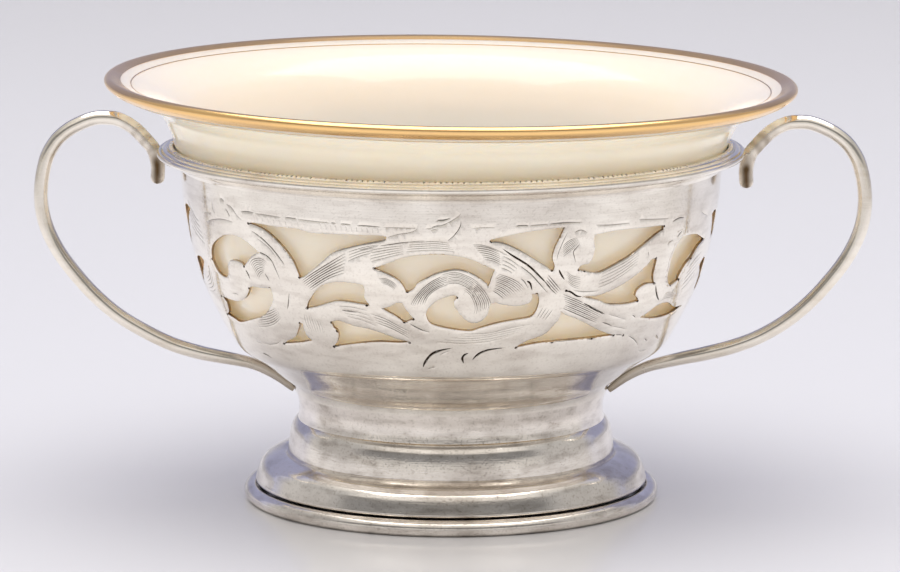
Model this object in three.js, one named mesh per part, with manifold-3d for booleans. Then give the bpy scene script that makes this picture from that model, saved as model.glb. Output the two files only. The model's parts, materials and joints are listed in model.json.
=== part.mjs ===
// Bouillon cup: a pierced silver holder on a spun foot, with two wire handles
// and a loose glazed liner that lifts out of it.
// Millimetres, +Z up. The origin is on the cup's axis, on the table.
// The handles lie on the X axis, and the front of the cup faces -Y.

import * as THREE from 'three';
import { mergeVertices } from 'three/addons/utils/BufferGeometryUtils.js';
import Module from 'manifold-3d';

// Driving dimensions: foot
const FOOT_WIRE_HEIGHT = 2.2;       // round wire that the foot stands on
const FOOT_WIRE_PROUD = 1.75;       // how far the wire stands out past the foot
const FOOT_HEIGHT = 13.95;          // spun foot, from its wire to the bowl
const FOOT_NECK_DRAW = 0.7;         // how far the neck is drawn in below the bowl
const FOOT_TOP_DRAW = 0.23;         // and how far the foot's top edge is
const FOOT_SPREAD = 6.55;           // how far the foot spreads from neck to base
const FOOT_WALL = 1.3;

// Driving dimensions: pierced bowl and its rim
const BOWL_BASE_RADIUS = 23.2;
const BOWL_MOUTH_RADIUS = 39.85;    // outside of the sheet
const BOWL_DEPTH = 33.35;
const BOWL_SHEET = 0.9;
const RIM_OVERHANG = 3.55;          // how far the rim flares past the bowl
const RIM_HEIGHT = 3.25;
const RIM_BORE_STEP = 0.85;         // how far the rim's bore is wider than the bowl's mouth
const RIM_EDGE_RISE = 2.1;          // height of the rim's widest edge above the bowl

// Driving dimensions: handles
const HANDLE_WIRE = 2.13;           // diameter of the round wire
const HANDLE_TIP = 0.7;             // diameter that the lower end is drawn down to
const HANDLE_REACH = 17.5;          // centreline, past the rim's edge
const HANDLE_RISE = 4.6;            // centreline, above the rim's edge
const HANDLE_TAPER = 0.19;          // share of the wire's length that is drawn down to the tip
const TAIL_ROUNDING = 0.8;          // how round the tail's end is: 1 is a ball, 0 is cut square

// Driving dimensions: liner
const LIP_RADIUS = 50.85;
const LINER_FLARE_HEIGHT = 10.55;   // from the neck in the rim's bore to the top of the lip
const LINER_NECK_RISE = 2.4;        // height of the neck above the bowl's mouth
const LINER_WALL = 2;
const LINER_FLOOR = 2.2;
const LINER_FOOT_RADIUS = 16;
const LINER_FOOT_WIDTH = 2.4;
const LINER_FOOT_HEIGHT = 1;
const LINER_CORNER = 3;             // inside corner between the liner's wall and its floor
const LINER_LEAN_SIDE = 0.9;        // degrees: the loose liner sits a little askew, towards +X
const LINER_LEAN_FRONT = 1.0;       // degrees: and towards the front
const LINER_LEAN_HEIGHT = 11.5;     // height of the lean's centre above the bowl's mouth

// Clearances
const LINER_CLEARANCE = 1.6;        // liner's body to the bowl's sheet
const SEAT_GAP = 0.65;              // liner's neck to the rim's bore, upright
const SOLDER_GAP = 0.3;             // handle wire to the piece it is soldered to

// Pattern
const PATTERN_TURN = 3;             // degrees from the front to the middle of the piercing
const PATTERN_HALF_TURN = 180;      // the piercing is the same again at the back
const CUTTER_DEPTH = 11;            // how far a piercing's cutter reaches into the bowl
const CUTTER_PROUD = 8;             // and how far it stands out of it

// Facets
const BOWL_FACETS = 48;
const BOWL_RINGS = 11;
const LINER_FACETS = 48;
const FOOT_FACETS = 44;
const RIM_FACETS = 48;
const WIRE_SIDES = 8;
const WIRE_STEPS = 36;
const PATH_POINTS_PER_STEP = 4;     // finer points that the wire's radius is worked out on

// Heights and radii that follow from the dimensions
const bowlBase = FOOT_WIRE_HEIGHT + FOOT_HEIGHT;
const bowlMouth = bowlBase + BOWL_DEPTH;
const footNeckRadius = BOWL_BASE_RADIUS - FOOT_NECK_DRAW;
const footBaseRadius = footNeckRadius + FOOT_SPREAD;
const rimEdgeRadius = BOWL_MOUTH_RADIUS + RIM_OVERHANG;
const rimEdgeHeight = bowlMouth + RIM_EDGE_RISE;
const rimBoreRadius = BOWL_MOUTH_RADIUS + RIM_BORE_STEP;
const linerNeckRadius = rimBoreRadius - SEAT_GAP;
const linerNeckHeight = bowlMouth + LINER_NECK_RISE;

// Outlines, as shares of the sizes above: 0 at one end of a curve, 1 at the other.
// Bowl's side: [out, up] from its base to its mouth
const BOWL_SIDE = [
  [0, 0], [0.084, 0.055], [0.276, 0.139], [0.474, 0.204], [0.589, 0.277], [0.679, 0.364],
  [0.805, 0.495], [0.907, 0.661], [0.973, 0.847], [1, 1],
];
// Rim moulding: [out, up] from the bowl's mouth, over the edge, a groove and a milled ring
const RIM_OUTLINE = [
  [0, 0], [0.1, 0.17], [0.34, 0.35], [0.65, 0.46], [0.9, 0.52], [1, 0.62], [0.99, 0.7],
  [0.87, 0.785], [0.76, 0.77], [0.66, 0.93], [0.49, 1], [0.36, 0.985],
];
// Foot: [out, up] from its base over the cushion, the bead and the neck
const FOOT_OUTLINE = [
  [1, 0], [1, 0.108], [0.965, 0.19], [0.88, 0.24], [0.7, 0.287], [0.26, 0.37], [0.252, 0.43],
  [0.21, 0.55], [0.122, 0.638], [0.038, 0.688], [0, 0.84], [0.046, 0.946],
];
// Foot's hollow: [out, up] inside the wall, from the neck down to the base
const FOOT_HOLLOW = [[0, 1], [0, 0.56], [0.06, 0.4], [0.25, 0.3], [0.75, 0.21], [1, 0.12], [1, 0]];
// Foot wire: [past the foot's base in wire's prouds, up]
const FOOT_WIRE_OUTLINE = [
  [-0.57, 1], [0.2, 1], [0.63, 0.93], [0.93, 0.73], [1, 0.5], [0.9, 0.22], [0.63, 0],
  [0.29, 0], [-0.57, 0.5],
];
// Liner's flare: [out, up] from the neck to the lip, below and above
const FLARE_BELOW = [
  [0, 0], [0.066, 0.194], [0.131, 0.322], [0.225, 0.502], [0.357, 0.597], [0.498, 0.668],
  [0.789, 0.773], [0.911, 0.839], [1, 0.919], [0.957, 1],
];
const FLARE_ABOVE = [
  [0.822, 0.957], [0.538, 0.834], [0.379, 0.739], [0.221, 0.597], [0.111, 0.417], [0, 0],
];
// Liner's shoulder, under the neck: [mm past the neck's radius, mm above the bowl's mouth]
const LINER_SHOULDER = [[-2, 0.5], [-0.8, 1.5]];
// Rim's bore, from the top down: [out, in bore steps past the bowl's mouth; up, as the outline]
const RIM_BORE = [[1, 0.9], [1, 0.55], [0.5, 0.28], [-0.35, 0.12], [-0.53, 0]];
// Part of the rim's outline that the handle's wire can touch: first point, and past the last
const RIM_TOUCHED = [3, 10];
const RIM_TOUCHED_LOWEST = 0.3;
// Handle's loop: [in reaches past the rim's edge, in rises above it], from the tail's end
// up past the rim, over the top and down the outside
const HANDLE_LOOP = [
  [0.0115, -1.15], [0.003, -0.67], [0.017, -0.24], [0.086, 0.217], [0.203, 0.674],
  [0.346, 0.978], [0.491, 1], [0.663, 0.804], [0.834, 0.37], [0.943, -0.26],
  [0.997, -1.196], [0.994, -1.913], [0.943, -2.76],
];
// Handle's lower run: [out, up] from the foot's neck to the loop's width and the rim's edge
const HANDLE_RUN = [
  [0.875, 0.475], [0.716, 0.3], [0.594, 0.221], [0.497, 0.174], [0.393, 0.1425], [0.315, 0.124],
  [0.237, 0.103], [0.1615, 0.077], [0.092, 0.026],
];

// Piercings of the front half: [degrees from the middle, to the right; height above the
// bowl's base in mm, in a bowl of the drawn depth]. Scrolls, leaves and shells of cut air.
const DRAWN_DEPTH = 33.35;
const PIERCINGS = {
  leftHook: [
    [-44.6, 24.6], [-48.7, 26], [-52, 26.5], [-55.3, 26.3], [-59.5, 25.4], [-62.8, 24.1],
    [-64.3, 22.7], [-64.3, 21], [-63.2, 20.1], [-60.8, 19.6], [-59.1, 19.8], [-57.3, 21.5],
    [-55.3, 22.6], [-53.3, 22.7], [-50.4, 22.1], [-48.3, 23.3], [-47, 24],
  ],
  leftSail: [
    [-43.5, 19.4], [-43.3, 17.9], [-44.5, 16.6], [-47, 15.4], [-49.9, 14.5], [-53.3, 13.9],
    [-59.5, 12.9], [-62, 12.7], [-68, 13.3], [-65.8, 13.9], [-64.1, 15.5], [-65.3, 16.3],
    [-60.3, 16.1], [-57.4, 16.3], [-54.5, 16.8], [-51.6, 18.1], [-49.9, 19.1], [-46.2, 19.2],
  ],
  leftCanopy: [
    [-46.8, 28.7], [-44.5, 28.5], [-41.6, 27.9], [-39.1, 26.8], [-37, 25.5], [-35.3, 24],
    [-34.1, 21.6], [-30.8, 22.9], [-27.8, 24.4], [-25, 25.8], [-20, 27], [-13.3, 28.1],
    [-13.9, 28.6], [-20, 28.6], [-29.9, 28.4], [-34.5, 28.8], [-39.9, 28.8],
  ],
  leftLeaf: [
    [-33.7, 17.1], [-32, 18.9], [-30.3, 20], [-28.3, 20.9], [-25.8, 21.4], [-23.3, 21.5],
    [-20, 21.4], [-19, 21.1], [-19, 19.4], [-18.1, 18.3], [-24.9, 18.7], [-28.3, 18.1],
  ],
  smallBud: [
    [-15, 17.9], [-13.3, 18.3], [-11.7, 18.8], [-10.6, 18.8], [-10, 18], [-8.3, 16.5],
    [-10.4, 16], [-12.1, 16.8],
  ],
  leftTongue: [
    [-28, 15.3], [-26.6, 15.6], [-22.5, 15], [-16.7, 14.3], [-13.3, 13.5], [-9.6, 12.8],
    [-16.7, 12.7], [-20.8, 12.4], [-29.1, 11.4], [-27, 13.3], [-27, 14],
  ],
  leftThorn: [
    [-36.9, 14.6], [-36.3, 14.5], [-36.4, 13.4], [-36.1, 12.5], [-35.1, 12], [-38.7, 11.5],
    [-44.9, 10.8], [-40.3, 12.1], [-39.1, 12.8],
  ],
  crescent: [
    [-16.2, 23.8], [-13.3, 24.6], [-10, 25.5], [-6.7, 25.9], [-2.5, 26.1], [0.8, 25.9],
    [4.2, 25.3], [9.2, 23.6], [7.8, 21.3], [5.4, 22.9], [3.3, 23.6], [1.3, 23.9], [-0.8, 23.8],
    [-3.3, 23.3], [-5.8, 22.4], [-7.9, 21], [-9, 20.6], [-10.1, 21.3], [-12.9, 23],
  ],
  kidney: [
    [-5.4, 16.9], [-4.6, 18.4], [-2.9, 19.3], [-0.8, 19.9], [1.3, 19.8], [0.6, 19], [1, 18.1],
    [2.1, 17.1], [3.8, 16.1], [5.4, 15.9], [7.1, 16.4], [8.5, 18.6], [11.7, 18.5], [14.6, 18.3],
    [17.1, 18.6], [17.5, 19.9], [18.8, 20], [19.4, 19.1], [18.5, 16.9], [14.2, 16.2],
    [10.4, 15.8], [4.6, 14.7], [2.1, 14.8], [-3.3, 15.5], [-4.8, 16],
  ],
  rightHorn: [
    [8.1, 27.9], [8.3, 28.2], [15.8, 29.1], [23.8, 29.5], [22.9, 28.1], [21.9, 26.6],
    [21.5, 25.1], [22.1, 24], [21.3, 23.4], [18.3, 24.8], [15.8, 25.9], [12.5, 27.1],
  ],
  rightCanopy: [
    [30.9, 28.1], [36.7, 28.4], [50.4, 28], [50.5, 27.5], [45, 25.9], [40.8, 24.4],
    [37.9, 23.6], [32.9, 22.5], [29.2, 22.9], [27.7, 23.1], [30.2, 24], [31.3, 26.1],
  ],
  rightLeaf: [
    [30, 19], [33.8, 19], [36.7, 19.4], [39.6, 20], [42.5, 20.9], [47.9, 23.3], [49.7, 23.1],
    [49.6, 21.1], [51, 19.5], [46.7, 19.5], [45.2, 18.1], [46.2, 17.3], [42.5, 17.1],
    [36.7, 17.6], [34.2, 18.3],
  ],
  rightTongue: [
    [15.4, 11.9], [18.3, 12.9], [22.5, 14], [24.8, 15.9], [25, 17], [28.3, 16], [33.8, 14.4],
    [36.7, 13.5], [42.1, 12.3], [35.4, 12.4], [20, 12.3],
  ],
  rightComma: [
    [72, 24.2], [66.7, 25.3], [61.7, 25.8], [58.8, 25.8], [56.3, 24.4], [55.4, 23.3],
    [55.2, 21.9], [56.3, 19.5], [57.9, 18.6], [61.5, 19.1], [62.1, 20.6], [65, 22],
    [67.5, 23.3],
  ],
  rightSail: [
    [49.2, 14.5], [53.3, 15.5], [57.5, 16], [61.7, 15.4], [64.2, 14.8], [70, 14.4], [64.2, 13.8],
    [60, 13.7], [55.4, 13.8],
  ],
  leftEdgeHook: [
    [-74, 28.5], [-77, 28.8], [-81, 28.5], [-84, 27.5], [-85.3, 25.9], [-85, 24.3],
    [-83.4, 23.2], [-81.2, 23.1], [-79.8, 23.9], [-79.6, 25.1], [-78.6, 26.4], [-76.6, 27.5],
  ],
  leftEdgeLeaf: [
    [-71, 21.1], [-73.5, 21.4], [-77, 21.2], [-80.3, 20.5], [-83, 19.3], [-84.3, 18],
    [-83.6, 17], [-81.6, 16.9], [-79.5, 17.5], [-77, 18.7], [-74, 19.9],
  ],
  rightEdgeLeaf: [
    [74, 20.3], [76, 20.9], [79, 20.8], [82, 19.9], [84, 18.5], [84, 17.1], [82.4, 16.1],
    [79.6, 15.9], [77, 16.5], [77.6, 17.7], [77, 18.9],
  ],
  rightEdgeHook: [
    [75.5, 27.5], [78.5, 27.8], [82, 27.5], [84.3, 26.4], [84.6, 24.9], [83, 23.9],
    [80.5, 23.9], [78.6, 24.7], [77.6, 26.1],
  ],
};

const wasm = await Module();
wasm.setup();
const { Manifold, Mesh: SolidMesh } = wasm;

// Solids from surfaces

// A closed geometry as a solid. Triangles that shrank to a line at the axis are dropped.
function solidOf(geometry) {
  const bare = geometry.clone();
  bare.deleteAttribute('normal');
  bare.deleteAttribute('uv');
  const merged = mergeVertices(bare, 1e-4);
  const kept = [];
  const corners = merged.index.array;
  for (let i = 0; i < corners.length; i += 3) {
    const [a, b, c] = corners.slice(i, i + 3);
    if (a !== b && b !== c && c !== a) kept.push(a, b, c);
  }
  const vertProperties = new Float32Array(merged.attributes.position.array);
  const build = () => {
    const triVerts = Uint32Array.from(kept);
    return new Manifold(new SolidMesh({ numProp: 3, vertProperties, triVerts }));
  };
  const solid = build();
  if (solid.volume() > 0) return solid;
  for (let i = 0; i < kept.length; i += 3) kept.splice(i, 3, kept[i], kept[i + 2], kept[i + 1]);
  return build();
}

function geometryOf(solid) {
  const mesh = solid.getMesh();
  const positions = new Float32Array(mesh.numVert * 3);
  for (let i = 0; i < mesh.numVert; i += 1) {
    positions.set(mesh.vertProperties.subarray(i * mesh.numProp, i * mesh.numProp + 3), i * 3);
  }
  const geometry = new THREE.BufferGeometry();
  geometry.setAttribute('position', new THREE.BufferAttribute(positions, 3));
  geometry.setIndex(Array.from(mesh.triVerts));
  geometry.computeVertexNormals();
  return geometry;
}

// A profile of [radius, height] points turned about the Z axis. It starts and ends on the
// axis, or closes on itself.
function turned(profile, facets) {
  const points = profile.map(([radius, height]) => new THREE.Vector2(radius, height));
  return new THREE.LatheGeometry(points, facets).rotateX(Math.PI / 2);
}

const closed = (profile) => [...profile, profile[0]];

// Points along a smooth curve through a few [x, y] points.
function smooth(points, steps) {
  const curve = new THREE.SplineCurve(points.map(([x, y]) => new THREE.Vector2(x, y)));
  return curve.getPoints(steps).map((point) => [point.x, point.y]);
}

// The same curve moved sideways, to the left of its direction, by a wall or a clearance.
function offset(points, distance) {
  return points.map(([x, y], i) => {
    const [x0, y0] = points[Math.max(i - 1, 0)];
    const [x1, y1] = points[Math.min(i + 1, points.length - 1)];
    const length = Math.hypot(x1 - x0, y1 - y0);
    return [x - distance * (y1 - y0) / length, y + distance * (x1 - x0) / length];
  });
}

// A wire of round section with its radius and centre given along its length, in the XZ plane.
function sweptWire(path, radii) {
  const positions = [];
  path.forEach(([x, z], i) => {
    const [x0, z0] = path[Math.max(i - 1, 0)];
    const [x1, z1] = path[Math.min(i + 1, path.length - 1)];
    const length = Math.hypot(x1 - x0, z1 - z0);
    for (let side = 0; side < WIRE_SIDES; side += 1) {
      const turn = 2 * Math.PI * (side + 0.5) / WIRE_SIDES;
      const across = radii[i] * Math.cos(turn);
      const aside = radii[i] * Math.sin(turn);
      positions.push(x - across * (z1 - z0) / length, aside, z + across * (x1 - x0) / length);
    }
  });
  const faces = [];
  for (let i = 0; i < path.length - 1; i += 1) {
    for (let side = 0; side < WIRE_SIDES; side += 1) {
      const next = (side + 1) % WIRE_SIDES;
      const [a, b] = [i * WIRE_SIDES + side, i * WIRE_SIDES + next];
      faces.push(a, b, a + WIRE_SIDES, b, b + WIRE_SIDES, a + WIRE_SIDES);
    }
  }
  const last = (path.length - 1) * WIRE_SIDES;
  for (let side = 1; side < WIRE_SIDES - 1; side += 1) {
    faces.push(0, side + 1, side, last, last + side, last + side + 1);
  }
  const geometry = new THREE.BufferGeometry();
  geometry.setAttribute('position', new THREE.BufferAttribute(Float32Array.from(positions), 3));
  geometry.setIndex(faces);
  return geometry;
}

// Pierced bowl: a raised sheet with a closed floor, cut through by the pattern

const bowlSide = smooth(BOWL_SIDE, BOWL_RINGS).map(([out, up]) => [
  BOWL_BASE_RADIUS + (BOWL_MOUTH_RADIUS - BOWL_BASE_RADIUS) * out,
  bowlBase + BOWL_DEPTH * up,
]);

// The bowl's side moved inwards, kept between two heights.
function insideBowl(distance, lowest, highest) {
  return offset(bowlSide, distance).filter(([, height]) => height > lowest && height < highest);
}

function bowlSolid() {
  const floor = bowlBase + BOWL_SHEET;
  const inner = insideBowl(BOWL_SHEET, floor + BOWL_SHEET / 2, bowlMouth - BOWL_SHEET).reverse();
  const [floorRadius] = inner.at(-1);
  const profile = [
    [0, bowlBase], ...bowlSide,
    [BOWL_MOUTH_RADIUS - BOWL_SHEET, bowlMouth], ...inner,
    [floorRadius - BOWL_SHEET, floor], [0, floor],
  ];
  return solidOf(turned(profile, BOWL_FACETS));
}

// A piercing's outline carried straight in and out from the cup's axis, closed at both ends.
function piercingCutter(outline, turn) {
  const flat = outline.map(([angle, height]) => new THREE.Vector2(angle, height));
  if (THREE.ShapeUtils.isClockWise(flat)) flat.reverse();
  const caps = THREE.ShapeUtils.triangulateShape(flat, []);
  const count = flat.length;
  const positions = [];
  for (const radius of [BOWL_MOUTH_RADIUS - CUTTER_DEPTH, BOWL_MOUTH_RADIUS + CUTTER_PROUD]) {
    for (const point of flat) {
      const azimuth = THREE.MathUtils.degToRad(point.x + turn);
      const height = bowlBase + point.y * BOWL_DEPTH / DRAWN_DEPTH;
      positions.push(radius * Math.sin(azimuth), -radius * Math.cos(azimuth), height);
    }
  }
  const faces = [];
  for (const [a, b, c] of caps) faces.push(a, c, b, a + count, b + count, c + count);
  for (let a = 0; a < count; a += 1) {
    const b = (a + 1) % count;
    faces.push(a, b, b + count, a, b + count, a + count);
  }
  const geometry = new THREE.BufferGeometry();
  geometry.setAttribute('position', new THREE.BufferAttribute(Float32Array.from(positions), 3));
  geometry.setIndex(faces);
  return solidOf(geometry);
}

function piercedBowl() {
  let bowl = bowlSolid();
  for (const outline of Object.values(PIERCINGS)) {
    for (const turn of [PATTERN_TURN, PATTERN_TURN + PATTERN_HALF_TURN]) {
      bowl = bowl.subtract(piercingCutter(outline, turn));
    }
  }
  return bowl;
}

// Rim moulding: it stands on the bowl's edge, flares over it, and holds the liner in its bore

function rimOutside() {
  return RIM_OUTLINE.map(([out, up]) => [
    BOWL_MOUTH_RADIUS + RIM_OVERHANG * out,
    bowlMouth + RIM_HEIGHT * up,
  ]);
}

function rimMoulding() {
  const bore = RIM_BORE.map(([out, up]) => [
    BOWL_MOUTH_RADIUS + RIM_BORE_STEP * out,
    bowlMouth + RIM_HEIGHT * up,
  ]);
  return solidOf(turned(closed([...rimOutside(), ...bore]), RIM_FACETS));
}

// Foot: a hollow spun pedestal, open below, under the bowl's flat base

function foot() {
  const outer = FOOT_OUTLINE.map(([out, up]) => [
    footNeckRadius + FOOT_SPREAD * out,
    FOOT_WIRE_HEIGHT + FOOT_HEIGHT * up,
  ]);
  const neckTop = [BOWL_BASE_RADIUS - FOOT_TOP_DRAW, bowlBase];
  const hollow = FOOT_HOLLOW.map(([out, up]) => [
    footNeckRadius - FOOT_WALL + FOOT_SPREAD * out,
    FOOT_WIRE_HEIGHT + FOOT_HEIGHT * up,
  ]);
  return solidOf(turned(closed([...outer, neckTop, ...hollow]), FOOT_FACETS));
}

function footWire() {
  const profile = FOOT_WIRE_OUTLINE.map(([out, up]) => [
    footBaseRadius + FOOT_WIRE_PROUD * out,
    FOOT_WIRE_HEIGHT * up,
  ]);
  return solidOf(turned(closed(profile), FOOT_FACETS));
}

// Handle on the +X side: its tail hangs beside the bowl, its wire is soldered to the rim's
// edge, loops out and runs back under the bowl to the foot's neck

function handlePath() {
  const loop = HANDLE_LOOP.map(([out, up]) => [
    rimEdgeRadius + HANDLE_REACH * out,
    rimEdgeHeight + HANDLE_RISE * up,
  ]);
  const widest = rimEdgeRadius + HANDLE_REACH;
  const run = HANDLE_RUN.map(([out, up]) => [
    footNeckRadius + (widest - footNeckRadius) * out,
    bowlBase + (rimEdgeHeight - bowlBase) * up,
  ]);
  const tip = [footNeckRadius + 2 * SOLDER_GAP + HANDLE_TIP / 2, bowlBase - HANDLE_TIP];
  return smooth([...loop, ...run, tip], WIRE_STEPS * PATH_POINTS_PER_STEP);
}

// The wire's radius: full round the loop, rounded off at the tail, drawn down at the tip.
function handleRadii(path) {
  const lengths = [0];
  for (let i = 1; i < path.length; i += 1) {
    const [x0, z0] = path[i - 1];
    const [x1, z1] = path[i];
    lengths.push(lengths[i - 1] + Math.hypot(x1 - x0, z1 - z0));
  }
  const total = lengths.at(-1);
  const taper = total * HANDLE_TAPER;
  const full = HANDLE_WIRE / 2;
  return lengths.map((length) => {
    const fromTip = Math.min((total - length) / taper, 1);
    const drawn = HANDLE_TIP / 2 + (full - HANDLE_TIP / 2) * Math.sqrt(fromTip);
    const fromTail = Math.min(length / full, 1);
    return Math.min(drawn, full * Math.sqrt(1 - TAIL_ROUNDING * (1 - fromTail) ** 2));
  });
}

// The rim's edge grown by the solder's thickness, as far in as the wire can reach.
function rimNotch() {
  const inside = rimEdgeRadius - HANDLE_WIRE;
  const top = bowlMouth + RIM_HEIGHT + SOLDER_GAP;
  const bottom = bowlMouth + RIM_HEIGHT * RIM_TOUCHED_LOWEST;
  const grown = offset(rimOutside().slice(...RIM_TOUCHED), -SOLDER_GAP);
  return solidOf(turned(closed([[inside, bottom], ...grown, [inside, top]]), RIM_FACETS));
}

function rightHandle() {
  const fine = handlePath();
  const radii = handleRadii(fine);
  const tailEnd = [1, 2]; // finer points that round the tail's end
  const steps = fine.map((point, i) => i);
  const kept = steps.filter((i) => i % PATH_POINTS_PER_STEP === 0 || tailEnd.includes(i));
  const wire = solidOf(sweptWire(kept.map((i) => fine[i]), kept.map((i) => radii[i])));
  return wire.subtract(rimNotch());
}

// Liner: a glazed cup that hangs in the rim's bore by its neck and lifts straight out

function liner() {
  const outerOffset = BOWL_SHEET + LINER_CLEARANCE;
  const floorBelow = bowlBase + outerOffset + LINER_FOOT_HEIGHT;
  const shoulder = bowlMouth - LINER_CLEARANCE;
  const outer = insideBowl(outerOffset, floorBelow + LINER_FOOT_HEIGHT / 2, shoulder);
  const floorInside = floorBelow + LINER_FLOOR;
  const inner = insideBowl(outerOffset + LINER_WALL, floorInside + LINER_CORNER / 3, shoulder).reverse();
  const lipSpread = LIP_RADIUS - linerNeckRadius;
  const below = FLARE_BELOW.map(([out, up]) => [
    linerNeckRadius + lipSpread * out,
    linerNeckHeight + LINER_FLARE_HEIGHT * up,
  ]);
  const mouthRadius = linerNeckRadius - LINER_WALL;
  const above = FLARE_ABOVE.map(([out, up]) => [
    mouthRadius + (LIP_RADIUS - mouthRadius) * out,
    linerNeckHeight + LINER_FLARE_HEIGHT * up,
  ]);
  const [baseRadius] = outer[0];
  const [floorRadius] = inner.at(-1);
  const footInside = LINER_FOOT_RADIUS - LINER_FOOT_WIDTH;
  const footBelow = floorBelow - LINER_FOOT_HEIGHT;
  const neck = LINER_SHOULDER.map(([out, up]) => [linerNeckRadius + out, bowlMouth + up]);
  const profile = [
    [0, floorBelow],
    [footInside - LINER_FOOT_HEIGHT, floorBelow],
    [footInside, footBelow],
    [LINER_FOOT_RADIUS, footBelow],
    [LINER_FOOT_RADIUS, floorBelow - LINER_FOOT_HEIGHT / 4],
    [baseRadius - LINER_WALL, floorBelow],
    ...outer, ...neck, ...below, ...above, ...inner,
    [floorRadius - LINER_CORNER, floorInside],
    [0, floorInside],
  ];
  return solidOf(turned(profile, LINER_FACETS));
}

// Materials: old polished silver, and ivory glazed china

const silver = new THREE.MeshStandardMaterial({ color: 0xd8d4ca, metalness: 1, roughness: 0.22 });
const wornSilver = new THREE.MeshStandardMaterial({ color: 0xc9c2b2, metalness: 1, roughness: 0.3 });
const china = new THREE.MeshStandardMaterial({ color: 0xefe4cc, metalness: 0, roughness: 0.15 });

function named(name, solid, material) {
  const mesh = new THREE.Mesh(geometryOf(solid), material);
  mesh.name = name;
  return mesh;
}

// Assembly

const holder = new THREE.Group();
const right = rightHandle();
holder.add(
  named('foot_wire', footWire(), wornSilver),
  named('foot', foot(), wornSilver),
  named('pierced_bowl', piercedBowl(), silver),
  named('rim_moulding', rimMoulding(), silver),
  named('right_handle', right, silver),
  named('left_handle', right.rotate([0, 0, 180]), silver),
);

// The liner leans about a point on the axis, so its group stands there.
const leanCentre = bowlMouth + LINER_LEAN_HEIGHT;
const leaning = new THREE.Group();
leaning.position.set(0, 0, leanCentre);
leaning.rotation.set(THREE.MathUtils.degToRad(LINER_LEAN_FRONT), THREE.MathUtils.degToRad(LINER_LEAN_SIDE), 0);
const linerMesh = named('liner', liner(), china);
linerMesh.position.z = -leanCentre;
leaning.add(linerMesh);

const bouillonCup = new THREE.Group();
bouillonCup.add(holder, leaning);

export default bouillonCup;
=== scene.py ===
# %% [markdown]
# # A bouillon cup in old silver
# A bouillon cup is a small soup cup with two handles. This one is a holder of pierced and
# engraved silver with a loose liner of ivory china, gilt round its lip. The solid model holds the
# sizes, and this lesson dresses it: every piece is a surface worked out with numpy from a few
# measured points, because turned and drawn metal is exactly that, a profile carried round an axis.

# %% The frame and the tools
import json

import bpy
import numpy as np
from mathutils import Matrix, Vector
from mathutils.geometry import delaunay_2d_cdt

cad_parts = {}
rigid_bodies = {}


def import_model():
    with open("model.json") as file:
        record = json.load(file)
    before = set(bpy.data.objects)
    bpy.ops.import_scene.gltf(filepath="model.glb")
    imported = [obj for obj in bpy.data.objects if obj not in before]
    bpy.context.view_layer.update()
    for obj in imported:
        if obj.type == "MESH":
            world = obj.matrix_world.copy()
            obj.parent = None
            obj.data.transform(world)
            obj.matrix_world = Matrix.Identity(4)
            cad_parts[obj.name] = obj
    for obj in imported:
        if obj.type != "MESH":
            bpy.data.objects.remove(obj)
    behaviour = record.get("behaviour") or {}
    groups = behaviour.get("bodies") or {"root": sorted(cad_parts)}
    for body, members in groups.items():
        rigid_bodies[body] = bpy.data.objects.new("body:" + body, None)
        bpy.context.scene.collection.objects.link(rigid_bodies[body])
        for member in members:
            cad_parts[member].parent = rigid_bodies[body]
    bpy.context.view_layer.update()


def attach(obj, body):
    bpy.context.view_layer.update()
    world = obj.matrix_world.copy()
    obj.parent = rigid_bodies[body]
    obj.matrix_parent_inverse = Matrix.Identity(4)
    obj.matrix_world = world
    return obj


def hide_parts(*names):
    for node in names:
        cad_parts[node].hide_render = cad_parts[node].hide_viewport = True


for leftover in list(bpy.data.objects):
    bpy.data.objects.remove(leftover)
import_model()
MM = 0.001

# %% [markdown]
# The camera comes first, because the picture was taken with a long lens from a little above the
# lip and a few degrees round to the right. A long lens far away keeps the ellipses of lip and foot
# nearly alike, which is how its distance was found.

# %% Camera
CAMERA_AZIMUTH = np.radians(3.0)
CAMERA_CLIMB = np.radians(9.3)
CAMERA_DISTANCE = 666.7 * MM
LENS_LENGTH, SENSOR_WIDTH = 180, 36
AIM = Vector((-0.15 * MM, 0, 31.4 * MM))


def placed(name, data):
    """A new object in the scene."""
    thing = bpy.data.objects.new(name, data)
    bpy.context.scene.collection.objects.link(thing)
    return thing


def aimed(direction):
    """The turn that makes a camera or a lamp look along a direction."""
    return direction.to_track_quat("-Z", "Y").to_euler()


back = Vector((
    np.sin(CAMERA_AZIMUTH) * np.cos(CAMERA_CLIMB),
    -np.cos(CAMERA_AZIMUTH) * np.cos(CAMERA_CLIMB),
    np.sin(CAMERA_CLIMB),
))
lens = bpy.data.cameras.new("camera")
lens.lens = LENS_LENGTH
lens.sensor_width = SENSOR_WIDTH
camera = placed("camera", lens)
camera.location = AIM + back * CAMERA_DISTANCE
camera.rotation_euler = aimed(-back)
bpy.context.scene.camera = camera
print("camera at", [round(v, 3) for v in camera.location])

# %% [markdown]
# Two helpers carry the lesson. A smooth curve runs through a few measured points: each point's
# direction is half the step from its left neighbour to its right one, and cubic spans join them.
# A turned surface carries such a curve round the axis, as a spinner's lathe does.

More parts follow.
